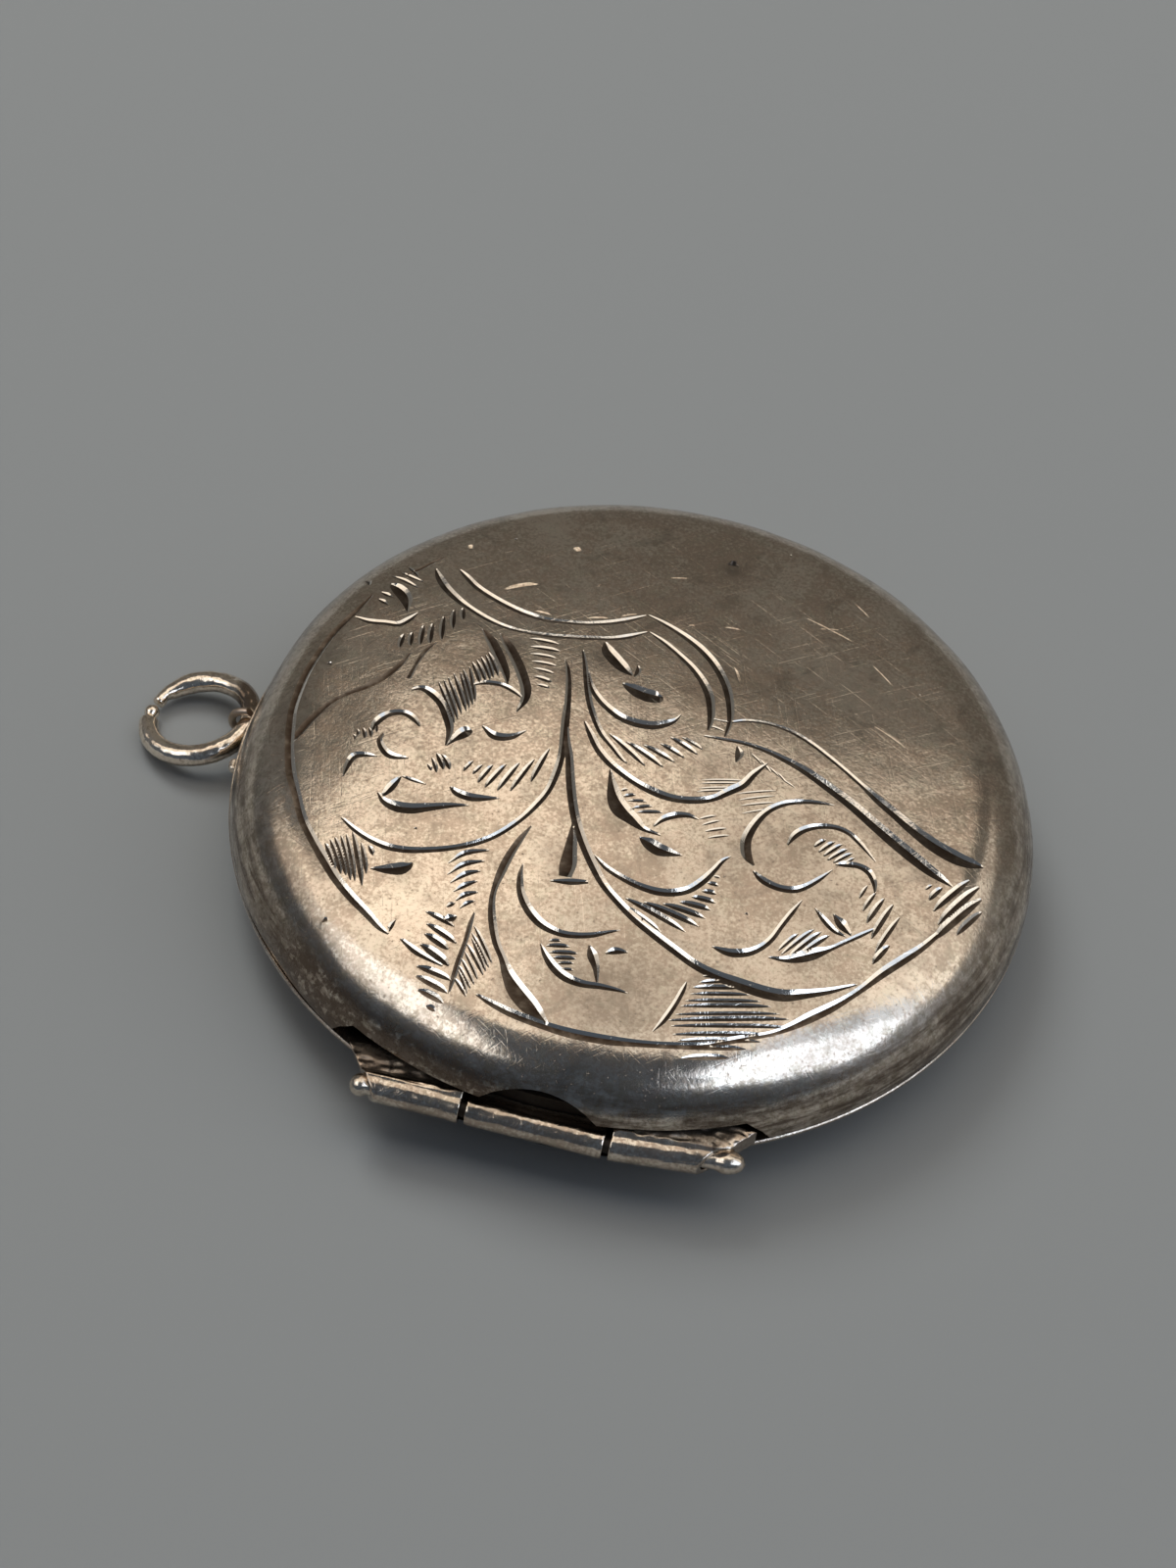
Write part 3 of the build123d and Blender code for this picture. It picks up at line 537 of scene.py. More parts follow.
class Cut:
    """One cut as three lines: the edge of its wall, its bottom, and the edge of its facet."""

    def __init__(self, points, wall=WALL, depth=1.0, dirt=1.0):
        # dirt scales the cut's tarnish, painted shade and painted highlight; 0 leaves a bare scrape
        # without them
        self.dirt = dirt
        path = smooth_path(points)
        place, width = path[:, :2], path[:, 2]
        run = np.gradient(place, axis=0)
        run /= np.linalg.norm(run, axis=1)[:, None] + 1e-9
        left = np.stack([-run[:, 1], run[:, 0]], 1)
        length = np.concatenate([[0], np.cumsum(np.linalg.norm(np.diff(place, axis=0), axis=1))])
        ends = np.clip(np.minimum(length, length[-1] - length) / TAPER, 0, 1)
        self.width = width
        self.depth = depth * ends * np.minimum(STEEPEST * width, DEPTH + DEPTH_GAIN * width)
        self.bottom = place + left * width[:, None] / 2
        self.bottom[:, 1] += BOTTOM_SHIFT * self.depth
        self.facet = place - left * width[:, None] / 2
        wall_width = THINNEST_WALL + wall * np.minimum(width, WIDEST_WALL_AT)
        self.wall = self.bottom + left * wall_width[:, None]
        self.low = np.minimum(self.wall, self.facet).min(0) - MARGIN
        self.high = np.maximum(self.wall, self.facet).max(0) + MARGIN

    def around(self, places):
        """Numbers of the places that are near enough to be in the cut."""
        return np.where(((places > self.low) & (places < self.high)).all(1))[0]

    def measure(self, at):
        """At each of these places: depth, 1 on the facet or -1 on the wall, and full depth there."""
        start, end = self.bottom[:-1], self.bottom[1:]
        along = end - start
        size = (along ** 2).sum(1) + 1e-12
        from_start = at[:, None] - start[None]
        t = np.clip((from_start * along).sum(2) / size, 0, 1)
        away = from_start - t[..., None] * along
        distance = np.sqrt((away ** 2).sum(2))
        nearest = distance.argmin(1)
        row = np.arange(len(at))
        t, distance, away = t[row, nearest], distance[row, nearest], away[row, nearest]
        on_left = (along[nearest, 0] * away[:, 1] - along[nearest, 1] * away[:, 0]) > 0

        def between(values):
            return values[nearest] * (1 - t) + values[nearest + 1] * t

        wall_width = between(np.linalg.norm(self.wall - self.bottom, axis=1))
        facet_width = between(np.linalg.norm(self.facet - self.bottom, axis=1))
        width = np.where(on_left, wall_width, facet_width)
        full = between(self.depth)
        return full * np.clip(1 - distance / width, 0, 1), np.where(on_left, -1, 1), full


def all_cuts():
    """Every cut, pit and scrape of the front cover."""
    cuts = []
    for group in (BORDER, DIVIDER, SASH, STEM, LEFT_SCROLL, CENTRE_LEAVES, RIGHT_SCROLL):
        cuts += [Cut(points) for points in group]
    cuts += [Cut(points, depth=LIGHTER) for points in UPPER_LEFT + SMALL_MARKS]
    cuts += [Cut(upright(points)) for points in CURVED_BARS]
    cuts += [Cut(upright(bar_points(*bar))) for bar in BARS]
    for hatches, depth in ((CRISP_HATCHES, 1.0), (SOFT_HATCHES, SHALLOW)):
        for hatch in hatches:
            cuts += [Cut(upright(points), depth=depth) for points in hatch_points(*hatch)]
    for x, y, size in PITS:
        points = bar_points(x - size / 2, y, x + size / 2, y + 0.1 * size, size)
        cuts.append(Cut(points, wall=PIT_WALL))
    for bar in SCRAPES:
        cuts.append(Cut(upright(bar_points(*bar)), wall=SCRAPE_WALL, depth=SHALLOW, dirt=0.0))
    return cuts


def background_points():
    """Points for the plain metal between the cuts: uneven rows, and rings towards the edge."""
    grid = []
    rows = int(DISC_RADIUS / BACKGROUND_STEP) + 1
    for j in range(-rows, rows + 1):
        for i in range(-rows, rows + 1):
            x = (i + 0.5 * (j % 2) + random.uniform(-JITTER, JITTER)) * BACKGROUND_STEP
            y = (j * ROW_STEP + random.uniform(-JITTER, JITTER)) * BACKGROUND_STEP
            if math.hypot(x, y) < EDGE_START - 0.3 * BACKGROUND_STEP:
                grid.append((x, y))
    rings = round((DISC_RADIUS - EDGE_START) / EDGE_STEP)
    for ring in range(rings):
        radius = EDGE_START + ring * (DISC_RADIUS - EDGE_START) / rings
        for i in range(COLUMNS):
            angle = 2 * math.pi * (i + 0.5 * (ring % 2)) / COLUMNS
            grid.append((radius * math.cos(angle), radius * math.sin(angle)))
    return np.array(grid)


def cut_lines(cuts):
    """The lines of all cuts: their points, each one's depth and cut, and the edges they make."""
    points, depths, owners, edges = [], [], [], []
    for number, cut in enumerate(cuts):
        count = len(cut.bottom)
        first = len(points)
        for line, depth in ((cut.wall, 0), (cut.bottom, 1), (cut.facet, 0)):
            start = len(points)
            points += [tuple(place) for place in line]
            depths += list(depth * cut.depth)
            owners += [number] * count
            edges += [(start + i, start + i + 1) for i in range(count - 1)]
        for end in (first, first + count - 1):
            edges += [(end, end + count), (end + count, end + 2 * count)]
    return points, depths, owners, edges


def engraved_disc(cuts):
    """Triangles of the disc inside DISC_RADIUS, with every cut's lines as edges."""
    points, depths, owners, edges = cut_lines(cuts)
    rim = len(points)
    creases = len(edges)
    points += [(DISC_RADIUS * math.cos(angle), DISC_RADIUS * math.sin(angle)) for angle in ANGLES]
    edges += [(rim + i, rim + (i + 1) % COLUMNS) for i in range(COLUMNS)]
    lines = np.array(points[:rim])
    for place in background_points():
        if ((lines - place) ** 2).sum(1).min() > CLEAR_OF_CUTS ** 2:
            points.append(tuple(place))
    depths += [0.0] * (len(points) - rim)
    owners += [None] * (len(points) - rim)

    result = delaunay_2d_cdt([Vector(place) for place in points], edges, [], 0, 1e-5)
    places = np.array([tuple(place) for place in result[0]])
    triangles = [tuple(face) for face in result[2]]
    creased = {
        frozenset(edge) for edge, sources in zip(result[1], result[4])
        if any(i < creases for i in sources)
    }
    sources = result[3]
    depth = np.array([max((depths[i] for i in made_from), default=0.0) for made_from in sources])
    for number, cut in enumerate(cuts):
        near = [v for v in cut.around(places) if number not in {owners[i] for i in sources[v]}]
        if near:
            depth[near] = np.maximum(depth[near], cut.measure(places[near])[0])
    return places, triangles, depth, creased


FACET_EDGE = 0.86           # tarnish with painted shade at the upper edge of a facet, and what it gains to the bottom
FACET_GAIN = 0.14
WALL_EDGE = -0.4            # the same for a wall, burnished and with a painted highlight
WALL_GAIN = 0.1


def cut_tarnish_and_painted_light_of(cuts, places, triangles, depth):
    """How much tarnish with painted shade each triangle's three corners take, from 0 to 1, and below
    0 on the walls for their burnish with a painted highlight.
    """
    corners = np.array(triangles)
    centre = places[corners].mean(1)
    best = np.zeros(len(centre))
    side = np.zeros(len(centre))
    full = np.ones(len(centre))
    dirt = np.ones(len(centre))
    for cut in cuts:
        near = cut.around(centre)
        if not len(near):
            continue
        here, which, deepest = cut.measure(centre[near])
        deeper = here > best[near]
        chosen = near[deeper]
        best[chosen] = here[deeper]
        side[chosen] = which[deeper]
        full[chosen] = deepest[deeper]
        dirt[chosen] = cut.dirt
    share = np.clip(depth[corners] / np.maximum(full, 1e-4)[:, None], 0, 1)
    on_facet = FACET_EDGE + FACET_GAIN * share
    on_wall = WALL_EDGE + WALL_GAIN * share
    inside = best > 1e-4
    dark = np.where(side[:, None] > 0, on_facet, on_wall)
    return np.where(inside[:, None], dark * dirt[:, None], 0.0)


def patches_and_painted_shade_of(cuts, places):
    """How much darker the plain metal is at each place: in patches, and with painted shade beside
    the wide cuts.
    """
    darkening = np.zeros(len(places))

    def darken(x, y, size, strength):
        distance = np.hypot(places[:, 0] - x, places[:, 1] - y)
        np.maximum(darkening, strength * np.exp(-(distance / size) ** 2), out=darkening)

    for patch in DARK_PATCHES:
        darken(*patch)
    # Painted shade beside the wide cuts, along their facets
    for cut in cuts:
        for (x, y), width in zip(cut.facet[::3], cut.width[::3]):
            if width > WIDE_CUT:
                darken(x, y, BESIDE_CUT, min(BESIDE_LIMIT, BESIDE_GROWTH * width))
    return darkening


def lower_edge(angle):
    """Height above the seam of the front cover's lower edge, which rises over the hinge."""
    x = abs(RIM_RADIUS * math.cos(angle))
    if math.sin(angle) > 0 or x > NOTCH_HALF_LENGTH + 1e-6:
        return SEAM_GAP
    rise = NOTCH_HEIGHT
    if x > NOTCH_HALF_LENGTH - NOTCH_CORNER:
        rise -= x - (NOTCH_HALF_LENGTH - NOTCH_CORNER)
    if x < ARCH_HALF_LENGTH:
        rise = max(rise, ARCH_HEIGHT * math.sqrt(1 - (x / ARCH_HALF_LENGTH) ** 2))
    return rise


def shoulder_point(angle, lift, inset):
    """A point of the shoulder's arc at `lift` radians above level, worn in where it is."""
    radius = SHOULDER_CENTRE + (FRONT_SHOULDER - inset) * math.cos(lift)
    height = FRONT_WALL_TOP + (FRONT_SHOULDER - inset) * math.sin(lift)
    x, y = radius * math.cos(angle), radius * math.sin(angle)
    worn = wear_in(math.degrees(angle) % 360, height)
    if inset == 0:
        ripple = 0.03 * (smooth_noise(x, y, height, 2.2) + 0.7)
        worn += ripple * min(1.0, (RIM_RADIUS - radius) * 2 + 0.3)
        worn += max(0.0, dent(x, y) * (1 - (radius - SHOULDER_CENTRE) / FRONT_SHOULDER))
    scale = (radius - worn) / radius
    x, y = x * scale, y * scale
    nick_middle = RIM_RADIUS - NICK_DEPTH + NICK_RADIUS
    if height < NICK_TOP and math.hypot(x, y - nick_middle) < NICK_RADIUS:
        y = nick_middle - math.sqrt(NICK_RADIUS ** 2 - x ** 2)
    return (x, y, SEAM_Z + height)


def face_point(x, y, depth):
    """A point of the face, with its dents and a cut's depth."""
    radius = math.hypot(x, y)
    height = face_height(radius)
    azimuth = math.degrees(math.atan2(y, x)) % 360
    inwards = 1 - wear_in(azimuth, height) / max(radius, 1)
    low = dent(x, y) * (1 - max(0, radius - CROWN_EDGE) / FRONT_SHOULDER)
    return (x * inwards, y * inwards, SEAM_Z + height - depth - low)


def shoulder_rings(top_lift):
    """Rings of points from the disc down the shoulder, round the lower edge and up inside."""
    def lift_at_edge(angle, inset):
        rise = (lower_edge(angle) - FRONT_WALL_TOP) / (FRONT_SHOULDER - inset)
        return math.asin(max(rise, -0.1))

    for row in range(1, SHOULDER_ROWS + 1):
        share = row / SHOULDER_ROWS
        yield [shoulder_point(a, top_lift + share * (lift_at_edge(a, 0) - top_lift), 0)
               for a in ANGLES]
    inner_top = math.pi / 2 - CROWN_TILT
    for row in range(INNER_ROWS + 1):
        share = row / INNER_ROWS
        starts = [lift_at_edge(a, SHEET) for a in ANGLES]
        yield [shoulder_point(a, start + share * (inner_top - start), SHEET)
               for a, start in zip(ANGLES, starts)]
    for radius in INNER_RINGS:
        height = SEAM_Z + face_height(radius, SHEET)
        yield [(radius * math.cos(a), radius * math.sin(a), height) for a in ANGLES]


def crease(mesh, creased):
    """Makes steep edges sharp, and with them the lines of the cuts."""
    mesh.shade_smooth()
    mesh.set_sharp_from_angle(angle=math.radians(32))
    sharp = mesh.attributes["sharp_edge"].data
    for edge in mesh.edges:
        if frozenset(edge.vertices) in creased:
            sharp[edge.index].value = True


def engraved_cover(material):
    """The whole front cover as one closed mesh: engraved face, shoulder, edges and inside."""
    cuts = all_cuts()
    places, triangles, depth, creased = engraved_disc(cuts)
    top_lift = math.acos((DISC_RADIUS - SHOULDER_CENTRE) / FRONT_SHOULDER)
    points = [face_point(x, y, deep) for (x, y), deep in zip(places, depth)]
    faces = list(triangles)
    upper = []
    for angle in ANGLES:
        corner = (DISC_RADIUS * math.cos(angle), DISC_RADIUS * math.sin(angle))
        nearest = int(((places - corner) ** 2).sum(1).argmin())
        points[nearest] = shoulder_point(angle, top_lift, 0)
        upper.append(nearest)
    for ring in shoulder_rings(top_lift):
        lower = list(range(len(points), len(points) + COLUMNS))
        points += ring
        faces += band(upper, lower)
        upper = lower
    faces.append(tuple(upper))

    piece = new_piece("engraved_front_cover", points, faces, "front", material)
    mesh = piece.data
    # Per corner: tarnish with painted shade on the cuts' facets, and burnish with a painted
    # highlight on their walls
    cut_tarnish_and_painted_light = np.zeros(len(mesh.loops))
    dark = cut_tarnish_and_painted_light_of(cuts, places, triangles, depth).ravel()
    cut_tarnish_and_painted_light[:len(dark)] = dark
    mesh.attributes.new("cut_tarnish_and_painted_light", "FLOAT", "CORNER").data.foreach_set("value", cut_tarnish_and_painted_light)
    darkening = np.zeros(len(points))
    darkening[:len(places)] = patches_and_painted_shade_of(cuts, places)
    mesh.attributes.new("darkening", "FLOAT", "POINT").data.foreach_set("value", darkening)
    crease(mesh, creased)
    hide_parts("front_cover")


# ---------------------------------------------------------------- back cover

BACK_CENTRE = (
    RIM_RADIUS - BACK_SHOULDER * math.cos(math.radians(BACK_LEAN)),
    BACK_SHOULDER * math.sin(math.radians(BACK_LEAN)) - BACK_LIP,
)
BACK_CROWN_CENTRE = BACK_CENTRE[1] + math.sqrt(
    (CROWN_RADIUS - BACK_SHOULDER) ** 2 - BACK_CENTRE[0] ** 2
)
BACK_LAST_LEAN = math.degrees(math.atan2(BACK_CROWN_CENTRE - BACK_CENTRE[1], BACK_CENTRE[0]))
BEND_STEPS = 18
CROWN_STEPS = 26
LIP_BEVEL = 0.04
DENT_FADE = 0.8             # distance from the rim over which the dents begin


def clear_of_hinge(x, y, z):
    """Moves a point down out of the groove in which the hinge lies."""
    across = abs(y - HINGE_Y)
    if abs(x) > OUTER_KNUCKLE_END or across > GROOVE_RADIUS:
        return x, y, z
    return x, y, min(z, HINGE_Z - math.sqrt(GROOVE_RADIUS ** 2 - across ** 2))


def back_profile(inset):
    """(radius, height) points of the back cover's outer or inner face, rim to middle."""
    first = math.degrees(math.asin((BACK_CENTRE[1] + (BACK_LIP if inset == 0 else 0))
                                   / (BACK_SHOULDER - inset)))
    rows = []
    for i in range(BEND_STEPS + 1):
        lean = math.radians(first + (BACK_LAST_LEAN - first) * i / BEND_STEPS)
        rows.append((BACK_CENTRE[0] + (BACK_SHOULDER - inset) * math.cos(lean),
                     BACK_CENTRE[1] - (BACK_SHOULDER - inset) * math.sin(lean)))
    edge = rows[-1][0]
    for i in range(1, CROWN_STEPS):
        radius = edge * (1 - i / CROWN_STEPS)
        height = BACK_CROWN_CENTRE - math.sqrt((CROWN_RADIUS - inset) ** 2 - radius ** 2)
        rows.append((radius, max(height, -SEAM_Z + inset)))
    return rows


def back_shell(material):
    """The back cover as a closed mesh, dented and rubbed flat where it lies."""
    outline = [(row, False) for row in reversed(back_profile(SHEET))]
    outline += [((RIM_RADIUS - LIP_BEVEL, 0.0), False), ((RIM_RADIUS, -LIP_BEVEL), False)]
    outline += [(row, True) for row in back_profile(0)]
    points = []
    for (radius, height), outside in outline:
        for i in range(COLUMNS):
            angle = 2 * math.pi * i / COLUMNS
            x, y = radius * math.cos(angle), radius * math.sin(angle)
            z = height
            if outside and radius < RIM_RADIUS - 0.1:
                dents = 0.05 * max(0.0, smooth_noise(x, y, 5.2, 4.5) - 0.1)
                dents += 0.02 * max(0.0, smooth_noise(x, y, 9.4, 1.6))
                z += dents * min(1.0, (RIM_RADIUS - radius) / DENT_FADE)
            x, y, z = clear_of_hinge(x, y, z)
            points.append((x, y, SEAM_Z + z))
    faces = []
    for row in range(len(outline) - 1):
        for i in range(COLUMNS):
            j = (i + 1) % COLUMNS
            a, b = row * COLUMNS, (row + 1) * COLUMNS
            faces.append((a + i, a + j, b + j, b + i))
    faces.append(tuple(range(COLUMNS))[::-1])
    faces.append(tuple(range(len(points) - COLUMNS, len(points))))
    piece = new_piece("worn_back_cover", points, faces, "back", material)
    piece.data.shade_smooth()
    piece.data.set_sharp_from_angle(angle=math.radians(35))
    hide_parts("back_cover")


# ---------------------------------------------------------------- ring, eyelet and solder

def ring_frame():
    """Centre of the bail ring, its direction away from the locket, and its axis."""
    reach = SEAM_Z + PIVOT_Z - RING_WIRE - TABLE_CLEARANCE
    droop = math.asin(reach / (2 * RING_RADIUS))
    away = Vector((-math.cos(droop), 0, -math.sin(droop)))
    axis = Vector((-math.sin(droop), 0, math.cos(droop)))
    centre = Vector((PIVOT_X, BAIL_Y, SEAM_Z + PIVOT_Z)) + RING_RADIUS * away
    return centre, away, axis


BALL_RADIUS = 0.3           # of the melted end of the ring's wire
WIRE_RADIUS = 0.42
THINNER_BY_BALL = 0.08      # how much thinner the wire is by its melted end
THINNER_END = 0.15          # and at its other end, from THIN_FROM degrees round the ring
THIN_FROM = 312
THINNER_SIDE = 0.03         # and at a flat opposite its cut
ROUNDED_END = 0.12          # length over which the thin end is rounded
RING_ROWS = 200
RING_SIDES = 28


def wire_thickness(turn):
    """Half the thickness of the ring's wire, `turn` degrees round from its cut."""
    length = math.radians(turn - RING_CUT / 2) * RING_RADIUS
    left = math.radians(360 - RING_CUT / 2 - turn) * RING_RADIUS
    thick = WIRE_RADIUS - THINNER_BY_BALL * max(0.0, 1 - length / 1.7)
    thick *= min(1.0, 0.5 + max(0.0, length - 1.8 * BALL_RADIUS) / 0.5)
    thick -= THINNER_END * min(1.0, max(0.0, (turn - THIN_FROM) / 40))
    thick -= THINNER_SIDE * hump(turn, 200, 30)
    if length < 2 * BALL_RADIUS:
        ball = math.sqrt(max(BALL_RADIUS ** 2 - (length - BALL_RADIUS) ** 2, 0.0004))
        thick = ball if length < BALL_RADIUS else max(ball, thick)
    if left < ROUNDED_END:
        thick *= math.sqrt(max(1 - (1 - left / ROUNDED_END) ** 2, 0.0004))
    return thick


def worn_ring(material):
    """The bail ring: hammered wire whose two ends meet, one melted round and one worn thin."""
    centre, away, axis = ring_frame()
    near = axis.cross(away)

    def wire_point(row, side):
        turn = RING_CUT / 2 + (360 - RING_CUT) * row / RING_ROWS
        thick = wire_thickness(turn)
        a = math.radians(turn + RING_CUT_TURN)
        outwards = math.cos(a) * away + math.sin(a) * near
        place = centre + RING_RADIUS * outwards
        b = 2 * math.pi * side / RING_SIDES
        direction = math.cos(b) * outwards + math.sin(b) * axis
        at = place + thick * direction
        size = thick
        size -= 0.035 * abs(smooth_noise(at.x, at.y, at.z, 0.5)) * min(1.0, thick / 0.3)
        size -= 0.04 * max(0.0, smooth_noise(at.x, at.y, at.z + 4, 1.1))
        size -= 0.12 * hump(turn, 343, 6) * max(0.0, -math.cos(b - 0.5)) ** 2
        size -= 0.09 * hump(turn, 262, 9) * max(0.0, math.cos(b - 1.2)) ** 4
        return tuple(place + max(size, 0.004) * direction)

    points, faces = tube(RING_ROWS, RING_SIDES, wire_point)
    piece = new_piece("worn_jump_ring", points, faces, "ring", material)
    piece.data.shade_smooth()
    piece.data.set_sharp_from_angle(angle=math.radians(22))
    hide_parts("jump_ring")


BAIL_AZIMUTH = 180 - math.degrees(math.asin(BAIL_Y / RIM_RADIUS))
SOLDER_ROWS = 60
SOLDER_SIDES = 16


def solder_lump(name, start, end, thick, tall, lean, material):
    """Uneven solder along the back's shoulder, from start to end degrees round from the eyelet."""
    lean = math.radians(lean)
    out = Vector((math.cos(lean), -math.sin(lean)))
    along = Vector((math.sin(lean), math.cos(lean)))
    foot = Vector(BACK_CENTRE) + (BACK_SHOULDER + 0.01) * out

    def lump_point(row, side):
        share = row / SOLDER_ROWS
        azimuth = math.radians(BAIL_AZIMUTH + start + (end - start) * share)
        round_off = math.sqrt(max(1 - (2 * share - 1) ** 8, 0.001))
        lump = 1 + 0.18 * smooth_noise(share * 9, 2.0 * thick, 1.0, 1.0)
        b = 2 * math.pi * side / SOLDER_SIDES
        lift = (0.5 + 0.5 * math.cos(b)) * thick * lump * round_off
        slide = math.sin(b) * tall * round_off * (1 + 0.1 * smooth_noise(share * 14, b, 3, 1))
        spot = foot + lift * out + slide * along
        return (spot.x * math.cos(azimuth), spot.x * math.sin(azimuth), SEAM_Z + spot.y)

    points, faces = tube(SOLDER_ROWS, SOLDER_SIDES, lump_point)
    piece = new_piece(name, points, faces, "back", material)
    piece.data.shade_smooth()
    return piece


def solder_foot(strip_material, drop_material):
    """The strip of solder under the eyelet, with a bright drop beyond its near end."""
    seat = solder_lump("solder_seat", -8.3, 8.6, 0.2, 0.42, 49, strip_material)
    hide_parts("bail_seat")
    solder_lump("solder_drop", 9.2, 11.2, 0.36, 0.26, 43, drop_material)


# ---------------------------------------------------------------- hinge

VOXEL = 0.04
SMOOTHINGS = 4
PIN_HOLE = 0.36             # radius inside which the knuckles keep their shape
EVEN_WEAR = 0.006           # how far the rest of their surface is worn down everywhere
NICKS = 0.02                # and how deep the small hollows in it are
WEB_HEIGHT = 0.02           # height above the seam over which the webs are worn
WEB_LENGTH = 4.4
WEB_SLOPE = 0.78            # share of the left web's height that is lost along that length
EAR_SHORTER = 0.17          # and of its ear's length
FRONT_Y = -14.05            # the tubes bend back in front of this line, more and more over
FRONT_REACH = 0.65          # this distance
PIN_ROWS = 160
PIN_SIDES = 24
BEND_BACK = 0.115           # how far the hinge's right end is bent back for each unit of length


def worn_copy(node, name, body, material, move):
    """A finely divided copy of a CAD piece with worn edges, each point then moved by `move`."""
    copied = bpy.data.objects.new(name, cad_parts[node].data.copy())
    bpy.context.scene.collection.objects.link(copied)
    remesh = copied.modifiers.new("divide", "REMESH")
    remesh.mode = "VOXEL"
    remesh.voxel_size = VOXEL * MM
    wear = copied.modifiers.new("wear", "SMOOTH")
    wear.factor = 0.5
    wear.iterations = SMOOTHINGS
    graph = bpy.context.evaluated_depsgraph_get()
    shaped = bpy.data.meshes.new_from_object(copied.evaluated_get(graph))
    points = [move(*(v.co / MM)) for v in shaped.vertices]
    faces = [tuple(polygon.vertices) for polygon in shaped.polygons]
    bpy.data.objects.remove(copied)
    piece = new_piece(name, points, faces, body, material)
    piece.data.shade_smooth()
    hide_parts(node)


def nicked(x, y, z):
    """Small hollows in a point's surface, drawn towards the hinge's axis."""
    hollow = EVEN_WEAR + NICKS * max(0.0, smooth_noise(x, y, z, 0.35) + 0.1)
    hollow += 1.6 * NICKS * max(0.0, smooth_noise(x, y + 7, z, 0.9) - 0.15)
    middle = Vector((0, y - HINGE_Y, z - SEAM_Z - HINGE_Z))
    if middle.length < PIN_HOLE:
        return x, y, z
    middle *= 1 - hollow / middle.length
    return x, HINGE_Y + middle.y, SEAM_Z + HINGE_Z + middle.z


def behind_knuckle(y):
    """From 0 on a knuckle's tube to 1 on its web."""
    return min(1.0, max(0.0, (y - HINGE_Y - 0.1) / 0.4))


def left_shape(x, y, z):
    """The left web slopes down to its ear, and its upper side is rough."""
    x += EAR_SHORTER * max(0.0, -x - OUTER_KNUCKLE_END)
    behind = behind_knuckle(y)
    share = min(1.0, max(0.0, (-x - KNUCKLE_START) / WEB_LENGTH))
    height = z - SEAM_Z
    if height > WEB_HEIGHT:
        rough = 0.14 * max(0.0, smooth_noise(x, 2 * y, 3.0, 0.5) + 0.1)
        z -= behind * height * (WEB_SLOPE * share + rough)
    return nicked(x, y, z)


def right_shape(x, y, z):
    """The right knuckle bends back a little towards its ear."""
    front = min(1.0, max(0.0, (FRONT_Y - y) / FRONT_REACH))
    share = max(0.0, x - KNUCKLE_START)
    y += BEND_BACK * share * front
    height = z - SEAM_Z
    if height > WEB_HEIGHT:
        z -= behind_knuckle(y) * height * 0.14 * max(0.0, smooth_noise(x, 2 * y, 6.0, 0.5) + 0.1)
    return nicked(x, y, z)


def hammered_pin(material):
    """The hinge pin with its ends hammered to fat round heads, and its right end bent back."""
    low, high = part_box("hinge_pin")
    start, end = low.x / MM + 0.2, high.x / MM - 0.15
    head_radius = (high.y - low.y) / 2 / MM - 0.01

    def pin_point(row, side):
        x = start + (end - start) * row / PIN_ROWS
        head_length = 1.15 if x > 0 else 0.8
        share = min(x - start, end - x) / head_length
        thick = PIN_RADIUS if share > 0.5 else 0.0
        if share < 1:
            thick = max(thick, head_radius * math.sqrt(max(1 - (2 * share - 1) ** 2, 0.0001)))
        y = HINGE_Y + BEND_BACK * max(0.0, x - KNUCKLE_START) - 0.03 * max(0.0, -x - 4.0)
        b = 2 * math.pi * side / PIN_SIDES
        worn = 1 - 0.12 * max(0.0, smooth_noise(x, 2 * math.cos(b), 2 * math.sin(b), 0.6))
        return (x, y + thick * worn * math.cos(b), SEAM_Z + HINGE_Z + thick * worn * math.sin(b))

    points, faces = tube(PIN_ROWS, PIN_SIDES, pin_point)
    piece = new_piece("hammered_pin", points, faces, "back", material)
    piece.data.shade_smooth()
    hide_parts("hinge_pin")


# ---------------------------------------------------------------- materials

class Nodes:
    """A node tree, with short calls for the nodes that these materials and the world use."""

    def __init__(self, tree):
        self.tree = tree

    def add(self, kind):
        return self.tree.nodes.new(kind)

    def link(self, source, target):
        self.tree.links.new(source, target)

    def feed(self, socket, value):
        """Sets a socket to a number or a colour, or links it to another socket."""
        if isinstance(value, tuple):
            socket.default_value = (*value, 1.0)
        elif isinstance(value, (int, float)):
            socket.default_value = value
        else:
            self.link(value, socket)

    def ramp(self, value, low, high, start=0.0, end=1.0, kind="SMOOTHSTEP"):
        """Maps low..high of a value to start..end."""
        node = self.add("ShaderNodeMapRange")
        node.interpolation_type = kind
        for socket, number in zip(node.inputs, (value, low, high, start, end)):
            self.feed(socket, number)
        return node.outputs["Result"]

    def math(self, operation, *values):
        node = self.add("ShaderNodeMath")
        node.operation = operation
        for socket, value in zip(node.inputs, values):
            self.feed(socket, value)
        return node.outputs[0]

    def mix(self, factor, first, second):
        """Mixes two colours, each a socket or three numbers."""
        node = self.add("ShaderNodeMix")
        node.data_type = "RGBA"
        self.link(factor, node.inputs["Factor"])
        self.feed(node.inputs[6], first)
        self.feed(node.inputs[7], second)
        return node.outputs[2]

    def separate(self, vector):
        node = self.add("ShaderNodeSeparateXYZ")
        self.link(vector, node.inputs[0])
        return node.outputs


